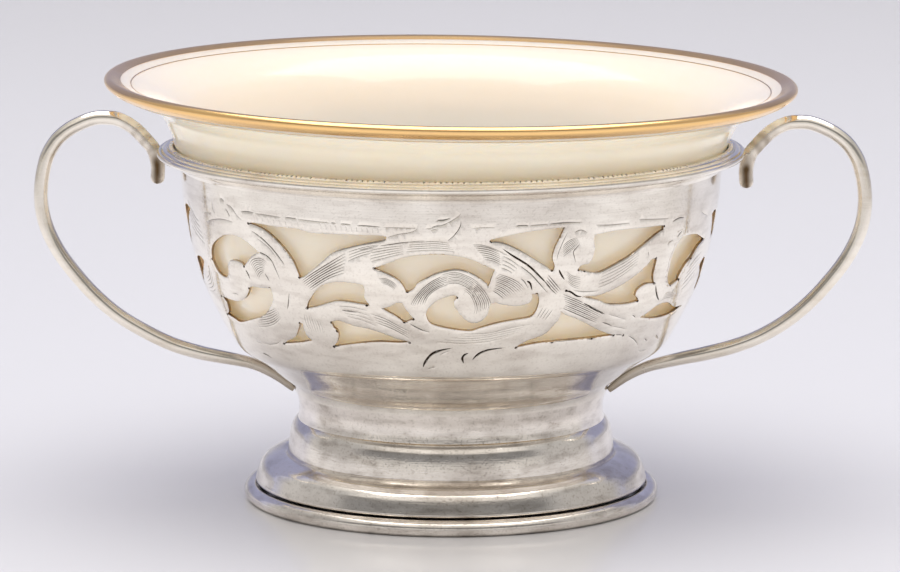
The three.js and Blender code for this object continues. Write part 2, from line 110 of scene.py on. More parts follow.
# %% Curves
def curve(points, per_span=10):
    """Points along a smooth curve: (2b + (c - a) t + (2a - 5b + 4c - d) t^2 + (3b - a - 3c + d) t^3) / 2
    between b and c, where a and d are the points before and after them."""
    p = np.asarray(points, float)
    p = np.vstack([2 * p[0] - p[1], p, 2 * p[-1] - p[-2]])
    t = np.linspace(0, 1, per_span, endpoint=False)[:, None]
    a, b, c, d = (p[i:len(p) - 3 + i, None, :] for i in range(4))
    q = (2 * b + (c - a) * t + (2 * a - 5 * b + 4 * c - d) * t**2 + (3 * b - a - 3 * c + d) * t**3) / 2
    return np.vstack([q.reshape(-1, p.shape[1]), p[-2]])


def cornered(parts, per_span=10):
    """Smooth curves one after the other, with a corner where two of them meet."""
    return np.vstack([curve(part, per_span) for part in parts])


def directions(line):
    """The unit step along a line at each of its points."""
    step = np.gradient(line, axis=0)
    return step / np.linalg.norm(step, axis=1, keepdims=True)


def right_of(step):
    """Flat steps turned a quarter turn to the right: (x, y) becomes (y, -x)."""
    return np.stack([step[:, 1], -step[:, 0]], -1)


def lengths(line):
    """How far along a line each of its points lies."""
    return np.append(0, np.cumsum(np.linalg.norm(np.diff(line, axis=0), axis=1)))


def round_turn(count):
    """Angles evenly round a full turn."""
    return np.linspace(0, 2 * np.pi, count, endpoint=False)


# %% Surfaces
def grid_faces(rows, columns, wrap_rows=False, wrap_columns=False):
    """Quads between neighbouring points of a grid whose points are numbered row by row."""
    r = np.arange(rows if wrap_rows else rows - 1)
    c = np.arange(columns if wrap_columns else columns - 1)
    r, c = (a.ravel() for a in np.meshgrid(r, c, indexing="ij"))
    r1, c1 = (r + 1) % rows, (c + 1) % columns
    return np.stack([r * columns + c, r1 * columns + c, r1 * columns + c1, r * columns + c1], -1)


def fan(ring, centre):
    """Triangles between a ring of point numbers and its centre's, each with its last corner twice."""
    following = np.roll(ring, -1)
    return np.stack([np.full(len(ring), centre), ring, following, following], -1)


def merged(points, faces, tolerance=1e-7):
    """The same surface with points that lie together made one, and the faces that shrank left out."""
    keys = np.round(np.asarray(points) / tolerance).astype(np.int64)
    _, first, inverse = np.unique(keys, axis=0, return_index=True, return_inverse=True)
    kept = []
    for face in inverse.ravel()[faces].tolist():
        corners = list(dict.fromkeys(face))
        if len(corners) > 2:
            kept.append(corners)
    return np.asarray(points)[first], kept, first


def smooth_mesh(name, points, faces):
    """A mesh of these points and faces, shaded smooth."""
    mesh = bpy.data.meshes.new(name)
    mesh.from_pydata(points.tolist(), [], faces)
    mesh.polygons.foreach_set("use_smooth", np.ones(len(mesh.polygons), bool))
    return mesh


def piece(name, points, faces, body, material, slot, sharp):
    """A finished mesh object, smooth but for edges sharper than an angle, riding on a body, and the
    numbers of the given points that it keeps."""
    points, faces, first = merged(points, faces)
    mesh = smooth_mesh(name, points, faces)
    mesh.set_sharp_from_angle(angle=np.radians(sharp))
    mesh.materials.append(material)
    thing = placed(name, mesh)
    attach(thing, body)
    print(name, len(mesh.vertices), "points", sum(len(f) - 2 for f in faces), "triangles")
    return thing, first


def stained(thing, value):
    """Stores on each point how dark it is, from 0 to 1: stain, and on the handle wires partly a painted dark
    reflection.
    """
    marks = thing.data.attributes.new("stain", "FLOAT", "POINT")
    marks.data.foreach_set("value", value.astype(np.float32))


def turned(profile, facets, ripple=None):
    """A profile of (radius, height) in mm carried round the Z axis: x = r sin a, y = -r cos a, z = h.
    ripple(angles, radius, height) may move the radius and height a little from angle to angle."""
    angles = round_turn(facets)[:, None]
    radius, height = (np.broadcast_to(c, (facets, len(profile))) for c in profile.T)
    if ripple:
        radius, height = ripple(angles, radius, height)
    points = np.stack([radius * np.sin(angles), -radius * np.cos(angles), height], -1)
    return points.reshape(-1, 3) * MM, grid_faces(facets, len(profile), wrap_rows=True, wrap_columns=True)


# %% [markdown]
# Every material here blends something by something, so three small helpers build those nodes. A
# plain number or colour is set on the socket itself, and only what changes is linked.

# %% Node helpers
MIX_SOCKETS = {"FLOAT": (2, 3, 0), "RGBA": (6, 7, 2)}


def put(tree, value, socket):
    """Links an output to a socket, or sets a plain value on it."""
    if isinstance(value, bpy.types.NodeSocket):
        tree.links.new(value, socket)
    else:
        socket.default_value = value


def mixed(tree, kind, share, start, end):
    """Two numbers or two colours, blended: start (1 - share) + end share, with the share from 0 to 1."""
    node = tree.nodes.new("ShaderNodeMix")
    node.data_type = kind
    first, second, result = MIX_SOCKETS[kind]
    put(tree, share, node.inputs[0])
    put(tree, start, node.inputs[first])
    put(tree, end, node.inputs[second])
    return node.outputs[result]


def spread(tree, value, stretch):
    """A value's stretch from low to high spread over 0 to 1: (value - low) / (high - low), clamped."""
    node = tree.nodes.new("ShaderNodeMapRange")
    put(tree, value, node.inputs["Value"])
    node.inputs["From Min"].default_value, node.inputs["From Max"].default_value = stretch
    return node.outputs["Result"]


# %% [markdown]
# Silver that has been polished by hand for a century is bright but not a mirror: fine scratches
# run round it, finger marks dull it in patches, and dark sulphide stays in every cut. Scratches,
# cloudy patches and stain serve several materials here, so they are one node group.

# %% Surface wear as a node group
SCRATCH_SCALE, STREAK_SCALE, CLOUD_SCALE, SPECK_SCALE = 4000.0, 900.0, 120.0, 2800.0
SCRATCH_SPAN, STREAK_SPAN = 2 * MM, 8 * MM
STREAK_STRETCH, CLOUD_STRETCH, SPECK_STRETCH = (0.48, 0.68), (0.38, 0.66), (0.54, 0.70)
FILM_BY_CLOUD, FILM_BY_STREAK, FILM_BY_SPECK = 0.55, 0.45, 0.4
ROUGH_BY_CLOUD, ROUGH_BY_SCRATCH = 0.6, 0.4
SPECK_PIT = -0.5


def wear_group():
    """Colour, roughness and bump height of a rubbed metal or glaze, from Object coordinates.
    Scratches and streaks are noise on (direction from the axis, height), clouds and specks plain noise."""
    group = bpy.data.node_groups.new("rubbed_surface", "ShaderNodeTree")
    for way, kind, names in (
        ("INPUT", "Color", ("Clean", "Film")),
        ("INPUT", "Float", ("Film amount", "Roughness low", "Roughness high")),
        ("OUTPUT", "Color", ("Color",)),
        ("OUTPUT", "Float", ("Roughness", "Height")),
    ):
        for name in names:
            group.interface.new_socket(name, in_out=way, socket_type="NodeSocket" + kind)
    nodes = group.nodes
    given, made = nodes.new("NodeGroupInput").outputs, nodes.new("NodeGroupOutput").inputs
    place = nodes.new("ShaderNodeTexCoord").outputs["Object"]
    split = nodes.new("ShaderNodeSeparateXYZ")
    put(group, place, split.inputs[0])

    def math(operation, *values):
        """One step of arithmetic on outputs and plain numbers."""
        node = nodes.new("ShaderNodeMath")
        node.operation = operation
        for value, socket in zip(values, node.inputs):
            put(group, value, socket)
        return node.outputs[0]

    def weighed(*pairs):
        """The sum of values, each times its weight."""
        total = 0.0
        for value, weight in pairs:
            total = math("ADD", math("MULTIPLY", value, weight), total)
        return total

    def noise(vector, scale, detail):
        """Noise from 0 to 1 at a vector."""
        node = nodes.new("ShaderNodeTexNoise")
        put(group, vector, node.inputs["Vector"])
        node.inputs["Scale"].default_value = scale
        node.inputs["Detail"].default_value = detail
        return node.outputs["Fac"]

    squares = [math("MULTIPLY", split.outputs[i], split.outputs[i]) for i in (0, 1)]
    out = math("SQRT", math("ADD", *squares))

    def round_about(span):
        """The direction from the axis times a length in metres, with the height: marks run round."""
        joined = nodes.new("ShaderNodeCombineXYZ")
        for i in (0, 1):
            put(group, math("MULTIPLY", math("DIVIDE", split.outputs[i], out), span), joined.inputs[i])
        put(group, split.outputs[2], joined.inputs[2])
        return joined.outputs[0]

    scratches = noise(round_about(SCRATCH_SPAN), SCRATCH_SCALE, detail=4.0)
    streaks = spread(group, noise(round_about(STREAK_SPAN), STREAK_SCALE, detail=3.0), STREAK_STRETCH)
    clouds = spread(group, noise(place, CLOUD_SCALE, detail=5.0), CLOUD_STRETCH)
    specks = spread(group, noise(place, SPECK_SCALE, detail=3.0), SPECK_STRETCH)
    marks = weighed((clouds, FILM_BY_CLOUD), (streaks, FILM_BY_STREAK), (specks, FILM_BY_SPECK))
    film = math("MULTIPLY", marks, given["Film amount"])
    put(group, mixed(group, "RGBA", film, given["Clean"], given["Film"]), made["Color"])
    dulled = weighed((clouds, ROUGH_BY_CLOUD), (scratches, ROUGH_BY_SCRATCH))
    rough = mixed(group, "FLOAT", dulled, given["Roughness low"], given["Roughness high"])
    put(group, rough, made["Roughness"])
    put(group, weighed((scratches, 1.0), (specks, SPECK_PIT)), made["Height"])
    return group


rubbed = wear_group()
print("node group", rubbed.name, "with", len(rubbed.nodes), "nodes")

# %% [markdown]
# Each finish is one Principled shader fed by that group. Stain lies where the maker cut: the meshes
# carry a value called stain, 1 in a cut and 0 beside it, and the metal darkens by it. On the handle
# wires the same value also holds a painted dark reflection.

# %% A finish
STAIN_ROUGHNESS = 0.6
GLAZE_ROUGHNESS = 0.04
SCRATCH_DEPTH = 0.02 * MM


def finish(name, clean, film, film_amount, rough, metallic, bump, coat=0.0, stain=None):
    """A Principled material: worn colour, roughness and bump, and stain by the mesh's own value, which on the
    handle wires also holds a painted dark reflection.
    rough is its least and greatest roughness, and bump how strongly the scratches show."""
    material = bpy.data.materials.new(name)
    material.use_nodes = True
    tree = material.node_tree
    shader = tree.nodes["Principled BSDF"].inputs
    wear = tree.nodes.new("ShaderNodeGroup")
    wear.node_tree = rubbed
    wear.inputs["Clean"].default_value = (*clean, 1)
    wear.inputs["Film"].default_value = (*film, 1)
    wear.inputs["Film amount"].default_value = film_amount
    wear.inputs["Roughness low"].default_value, wear.inputs["Roughness high"].default_value = rough
    colour, roughness = wear.outputs["Color"], wear.outputs["Roughness"]
    if stain:
        value = tree.nodes.new("ShaderNodeAttribute")
        value.attribute_name = "stain"
        colour = mixed(tree, "RGBA", value.outputs["Fac"], colour, (*stain, 1))
        roughness = mixed(tree, "FLOAT", value.outputs["Fac"], roughness, STAIN_ROUGHNESS)
    put(tree, colour, shader["Base Color"])
    put(tree, roughness, shader["Roughness"])
    shader["Metallic"].default_value = metallic
    shader["Coat Weight"].default_value = coat
    shader["Coat Roughness"].default_value = GLAZE_ROUGHNESS
    relief = tree.nodes.new("ShaderNodeBump")
    relief.inputs["Strength"].default_value = bump
    relief.inputs["Distance"].default_value = SCRATCH_DEPTH
    put(tree, wear.outputs["Height"], relief.inputs["Height"])
    put(tree, relief.outputs["Normal"], shader["Normal"])
    return material


# %% [markdown]
# The silver differs from piece to piece in how much it was handled: brightest where it is rubbed,
# brown on the saw's cuts, amber inside, where no cloth reaches; the handle wires also carry a painted
# dark reflection. China lets light in and scatters it under its glaze. The liner's inside is the same
# glaze painted darker, with a faint painted glow in place of light.

# %% Materials
# The second brown darkens the handle wires: a painted dark reflection on the tail, and tan further on.
SULPHIDE, WIRE_DARK_BROWN = (0.035, 0.022, 0.014), (0.16, 0.10, 0.05)
METAL, GLAZED = 1.0, 0.0
SCATTER_DEPTH, SCATTER_COLOUR = 9 * MM, (1.0, 0.8, 0.6)
# Painted light: a faint even glow on the liner's inside, its strength and colour.
PAINTED_GLOW, PAINTED_GLOW_COLOUR = 0.33, (1.0, 0.88, 0.74, 1)
silver = finish(
    "engraved_silver", (0.94, 0.895, 0.82), (0.60, 0.54, 0.48), 0.75, (0.04, 0.18), METAL, 0.45,
    stain=SULPHIDE,
)
spun_silver = finish("spun_silver", (0.97, 0.915, 0.85), (0.46, 0.41, 0.36), 0.85, (0.06, 0.2), METAL, 0.5)
wire_silver = finish(
    "drawn_wire_silver", (0.92, 0.87, 0.79), (0.60, 0.50, 0.37), 0.4, (0.06, 0.2), METAL, 0.2,
    stain=WIRE_DARK_BROWN,
)
sawn_silver = finish("sawn_edge", (0.62, 0.47, 0.31), (0.16, 0.10, 0.06), 0.8, (0.3, 0.5), METAL, 0.3)
amber_silver = finish("tarnished_silver", (0.97, 0.76, 0.46), (0.80, 0.52, 0.26), 0.4, (0.2, 0.4), METAL, 0.2)
china = finish(
    "ivory_glaze", (0.93, 0.81, 0.685), (0.88, 0.74, 0.59), 0.25, (0.10, 0.16), GLAZED, 0.02, coat=0.2,
)
# The liner's inside: the ivory glaze painted darker, to carry the painted glow.
china_inside_painted_glow = finish(
    "ivory_glaze_inside_painted_glow", (0.56, 0.51, 0.455), (0.53, 0.475, 0.415), 0.25, (0.12, 0.2), GLAZED, 0.02,
    coat=0.2,
)
gold = finish("fired_gold", (0.98, 0.64, 0.27), (0.80, 0.50, 0.27), 0.4, (0.13, 0.22), METAL, 0.1)
for glazed in (china, china_inside_painted_glow):
    glaze = glazed.node_tree.nodes["Principled BSDF"].inputs
    glaze["Subsurface Weight"].default_value = 1.0
    glaze["Subsurface Scale"].default_value = SCATTER_DEPTH
    glaze["Subsurface Radius"].default_value = SCATTER_COLOUR
# The painted glow on the liner's inside.
painted_glow_glaze = china_inside_painted_glow.node_tree.nodes["Principled BSDF"].inputs
painted_glow_glaze["Emission Color"].default_value = PAINTED_GLOW_COLOUR
painted_glow_glaze["Emission Strength"].default_value = PAINTED_GLOW
print("materials:", [m.name for m in bpy.data.materials])

# %% [markdown]
# The foot is spun from one disc: a neck, a bead and a spread cushion. Its profile was measured at
# the silhouette, and the creases between its members are real corners, so the smooth runs are
# separate curves that meet there. The wire under it is round, worn flat where it stands.

# %% Foot and foot wire
FOOT_NECK = [(23.0, 16.15), (22.82, 15.4), (22.6, 14.3), (22.6, 13.1), (22.75, 12.0)]
FOOT_BEAD = [
    (22.75, 12), (23, 11.78), (23.35, 11.35), (23.65, 10.8), (23.85, 10.1), (24, 9.3), (24.12, 8.4),
    (24.2, 7.5), (24.25, 6.75),
]
FOOT_CUSHION = [
    (24.25, 6.75), (25, 6.9), (26.2, 6.62), (27.2, 6.2), (27.9, 5.7), (28.35, 5.1), (28.6, 4.5),
    (28.78, 3.9), (28.95, 3.3), (29.07, 2.85), (28.95, 2.52), (28.5, 2.4), (28.2, 2.3), (28, 2.2),
]
FOOT_HOLLOW = [
    (27.4, 2.2), (27.2, 3.4), (26.4, 4.8), (24.6, 5.5), (22.9, 6.3), (21.7, 8.4), (21.2, 12), (21.2, 16.15),
]
TURNED_FACETS = 256
BASE_WIRE_RADIUS, BASE_WIRE_HEIGHT = 29.55, 1.12
BASE_WIRE_HALF_WIDTH, BASE_WIRE_HALF_HEIGHT = 1.25, 1.2
BASE_WIRE_SIDES = 40

foot_profile = cornered((FOOT_NECK, FOOT_BEAD, FOOT_CUSHION, FOOT_HOLLOW))
foot_surface = turned(foot_profile, TURNED_FACETS)
foot_piece, _ = piece("spun_foot", *foot_surface, "holder", spun_silver, "worn_silver", 30)
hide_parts("foot")

wire_turn = round_turn(BASE_WIRE_SIDES)
wire_section = np.stack([
    BASE_WIRE_RADIUS + BASE_WIRE_HALF_WIDTH * np.cos(wire_turn),
    np.maximum(BASE_WIRE_HEIGHT + BASE_WIRE_HALF_HEIGHT * np.sin(wire_turn), 0.0),
], -1)
base_surface = turned(wire_section, TURNED_FACETS)
base_piece, _ = piece("base_wire", *base_surface, "holder", spun_silver, "worn_silver", 60)
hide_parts("foot_wire")

# %% [markdown]
# The rim is a moulded wire soldered on the bowl's mouth: a plain rounded edge, a narrow groove and
# a milled ring inside. Milling is a row of small grains, so the ring's height ripples with the
# angle, and dirt lies between the grains and in the groove.

# %% Rim moulding
MOUTH = 49.5
GROOVE, SHOULDER, BORE_TOP = (42.68, 52.05), (41.8, 52.38), (40.8, 52.4)
RIM_FLARE = [
    (39.85, MOUTH), (40.2, 50.0), (41.2, 50.65), (42.3, 51.0), (43.05, 51.2), (43.35, 51.55), (43.3, 51.9),
    (42.98, 52.12), GROOVE,
]
RIM_FILLET = [GROOVE, (42.5, 52.3), (42.15, 52.45), SHOULDER]
RIM_MILLED = [SHOULDER, (41.6, 52.66), (41.25, 52.78), (40.95, 52.7), BORE_TOP]
RIM_BORE = [BORE_TOP, (40.7, 51.3), (40.3, 50.5), (39.6, 49.9), (39.4, MOUTH)]
MILLED_GRAINS, MILLED_RADIUS, GRAIN_HEIGHT = 330, 41.75, 0.24
RIM_FACETS = 4 * MILLED_GRAINS
CREST_RISE, CREST_INSET = 0.3, 0.15
DIRT_DEPTH, GROOVE_REACH, SHOULDER_REACH = 0.12, 0.1, 0.03
SUNK_DIRT, GROOVE_DIRT, SHOULDER_DIRT = 0.85, 0.5, 0.4


def grains(angles, radius, height):
    """Lifts the milled ring by a rounded wave round the cup, strongest along its crest."""
    crest = np.clip((height - BORE_TOP[1]) / CREST_RISE, 0, 1)
    crest = crest * np.clip((MILLED_RADIUS - radius) / CREST_INSET, 0, 1)
    wave = np.abs(np.sin(angles * MILLED_GRAINS / 2)) - 0.6
    uneven = 0.55 + 0.45 * np.sin(angles * 37 + 1) * np.sin(angles * 59) + 0.25 * np.sin(angles * 141)
    return radius, height + GRAIN_HEIGHT * crest * wave * uneven


def rim():
    """The moulding, stained where a grain is sunk, in the groove and along the shoulder."""
    profile = cornered((RIM_FLARE, RIM_FILLET, RIM_MILLED, RIM_BORE), 3)
    surface = turned(profile, RIM_FACETS, grains)
    thing, kept = piece("rim_wire", *surface, "holder", silver, "polished_silver", 50)
    radius, height = (np.broadcast_to(c, (RIM_FACETS, len(profile))) for c in profile.T)
    sunk = height - grains(round_turn(RIM_FACETS)[:, None], radius, height)[1]
    in_groove = np.hypot(radius - GROOVE[0], height - GROOVE[1]) < GROOVE_REACH
    at_shoulder = np.abs(radius - SHOULDER[0]) < SHOULDER_REACH
    darkening = SUNK_DIRT * np.clip(sunk / DIRT_DEPTH, 0, 1)
    darkening = darkening + GROOVE_DIRT * in_groove + SHOULDER_DIRT * at_shoulder
    stained(thing, darkening.ravel()[kept])
    return thing


rim_piece = rim()
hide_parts("rim_moulding")

# %% [markdown]
# A handle is one drawn wire. Its centreline is a smooth curve through points measured along the
# loop; a circle is carried along it, rounded off at the tail that hangs below the rim, and drawn
# down to a thin tip where it meets the foot's neck. The lower run differs from side to side.

# %% Handles
HANDLE_LOOP = [
    (43.6, 46.3), (43.45, 48), (43.45, 49.2), (43.7, 50.5), (44.15, 51.7), (44.9, 52.6), (45.8, 53.6),
    (46.95, 54.7), (48.3, 55.55), (49.8, 56.1), (52, 56.2), (53.5, 55.9), (55, 55.3), (56.5, 54.5),
    (58, 53.3), (59, 52.05), (59.9, 50.4), (60.5, 48.3), (60.85, 46.1), (60.92, 43.9), (60.6, 41.4),
    (59.8, 38.9), (58.3, 36), (56.2, 33.1), (53.3, 29.8), (49.8, 26.75), (45.8, 24.3),
]
RIGHT_RUN = [
    (41.6, 22.65), (37.6, 21.6), (34.6, 20.95), (31.6, 20.25), (29.4, 19.65), (27.3, 18.75), (25.3, 17.5),
    (23.4, 15.95),
]
LEFT_RUN = [
    (41.6, 22.3), (37.6, 21.1), (34.6, 20.5), (31.6, 19.95), (29.4, 19.4), (27.3, 18.45), (25.3, 17.2),
    (23.4, 15.65),
]
WIRE_SIDES, WIRE_RADIUS = 24, 1.065
TIP_LENGTH, TIP_RADIUS = 16, 0.4
# The wire's darkening: a painted dark reflection on the tail, then tan after it and at the tip, strongest on
# the side that faces the camera.
TAIL_REFLECTION_LENGTH, TAN_PLACE, TAN_LENGTH, TIP_DARK_LENGTH = 5.0, 7.0, 3.6, 9.0
TAIL_REFLECTION_DARK, TAN_DARK, TIP_DARK, END_DARK = 0.95, 0.7, 0.5, 0.6
TAIL_FADE, CORE_SPREAD, FACING_CAMERA = 2.0, 0.65, 1.5 * np.pi


def wire_radius(along):
    """The wire's radius: thinning as a square root towards the tip, and a half ball at the tail."""
    from_tip = np.clip((along[-1] - along) / TIP_LENGTH, 0, 1)
    drawn = TIP_RADIUS + (WIRE_RADIUS - TIP_RADIUS) * np.sqrt(from_tip)
    from_tail = np.clip(along / WIRE_RADIUS, 0, 1)
    return np.minimum(drawn, WIRE_RADIUS * np.sqrt(np.maximum(1 - (1 - from_tail) ** 2, 0)))


def wire_darkening(along, turn, side):
    """A painted dark reflection on the tail, on the side that faces the camera, and tan blotches after it and
    towards the tip, strongest on that side.
    """
    tail = TAIL_REFLECTION_DARK * np.clip((TAIL_REFLECTION_LENGTH - along) / TAIL_FADE, 0, 1)
    core = np.exp(-((turn - FACING_CAMERA) / CORE_SPREAD) ** 2)
    blotch = 0.6 + 0.4 * np.sin(along * 2.1 + side + 2 * np.sin(turn)) * np.sin(along * 1.3)
    tan = TAN_DARK * np.exp(-((along - TAN_PLACE) / TAN_LENGTH) ** 2) * blotch
    tan = tan + TIP_DARK * np.exp(-((along[-1] - along) / TIP_DARK_LENGTH) ** 2)
    return tail * core + tan * np.clip(0.75 - 0.5 * np.sin(turn), 0, 1)


def handle(name, node, side, run):
    """A circle carried along the loop and the lower run; side is 1 for the right handle, -1 for the left."""
    line = curve(HANDLE_LOOP + run, 8)
    step, along, turn = directions(line), lengths(line), round_turn(WIRE_SIDES)
    radius = wire_radius(along)[:, None]
    across = radius * np.cos(turn)
    x = side * (line[:, 0:1] - across * step[:, 1:2])
    z = line[:, 1:2] + across * step[:, 0:1]
    points = np.stack([x, radius * np.sin(turn), z], -1).reshape(-1, 3)
    ends = [(side * x_end, 0, z_end) for x_end, z_end in (line[0], line[-1])]
    tail_ring = np.arange(WIRE_SIDES)
    tip_ring = tail_ring + len(points) - WIRE_SIDES
    skin = grid_faces(len(line), WIRE_SIDES, wrap_columns=True)
    faces = np.concatenate([skin, fan(tail_ring, len(points)), fan(tip_ring[::-1], len(points) + 1)])
    if side > 0:
        faces = faces[:, ::-1]
    points = np.vstack([points, ends]) * MM
    thing, kept = piece(name, points, faces, "holder", wire_silver, "polished_silver", 50)
    # The wire's painted dark reflection and its tan, stored as the stain value.
    darkening = wire_darkening(along[:, None], turn, side).ravel()
    stained(thing, np.append(darkening, [END_DARK, END_DARK])[kept])
    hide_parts(node)


handle("right_handle_wire", "right_handle", 1, RIGHT_RUN)
handle("left_handle_wire", "left_handle", -1, LEFT_RUN)

# %% [markdown]
# The pierced bowl is the heart of the cup. A sawyer cuts the air out of a raised sheet, and an
# engraver shades what is left. So the sheet is laid out flat, as (mm round the bowl, mm up its
# side), the saw's outlines and the graver's strokes are drawn there as lines, and one
# triangulation that keeps every line joins them all.

# %% The bowl's side, laid out flat
BOWL_SIDE = [
    (23.2, 16.15), (23.3, 16.9), (23.75, 17.5), (24.8, 18.25), (26.2, 19.4), (27.8, 20.7), (29.9, 22.1),
    (31.2, 22.9), (32.2, 24.05), (33.0, 25.4), (33.8, 26.8), (34.5, 28.3), (35.35, 29.85), (36.6, 32.65),
    (37.4, 35.4), (38.3, 38.2), (38.9, 41.4), (39.4, 44.4), (39.6, 45.85), (39.7, 47.3), (39.85, MOUTH),
]
SHEET = 0.55
FLAT_RADIUS = 37.0
PATTERN_TURN = 3.0
LEFT_SEAM, RIGHT_SEAM = -93.0, 87.0
PER_DEGREE = np.radians(FLAT_RADIUS)

side = curve(BOWL_SIDE, 16)
side_length = lengths(side)
side_step = directions(side)


def flat(points):
    """(degrees from the middle, height) to (mm round, mm up the side) on the flat layout."""
    p = np.asarray(points, float)
    return np.stack([p[..., 0] * PER_DEGREE, np.interp(p[..., 1], side[:, 1], side_length)], -1)


def raised(p, sunk):
    """Flat points on the bowl, sunk below its outside by so many mm along its normal."""
    azimuth = np.radians(p[:, 0] / PER_DEGREE + PATTERN_TURN)
    r, h, dr, dh = (np.interp(p[:, 1], side_length, c) for c in (*side.T, *side_step.T))
    r, h = r - sunk * dh, h + sunk * dr
    return np.stack([r * np.sin(azimuth), -r * np.cos(azimuth), h], -1)


print("side of the bowl:", round(side_length[-1], 2), "mm long")

# %% [markdown]
# The openings are the saw's work. Each is a ring of (degrees, height) points read off the bowl. A
# sharp turn is a corner, where the saw stopped and turned, and between corners the cut is smooth.

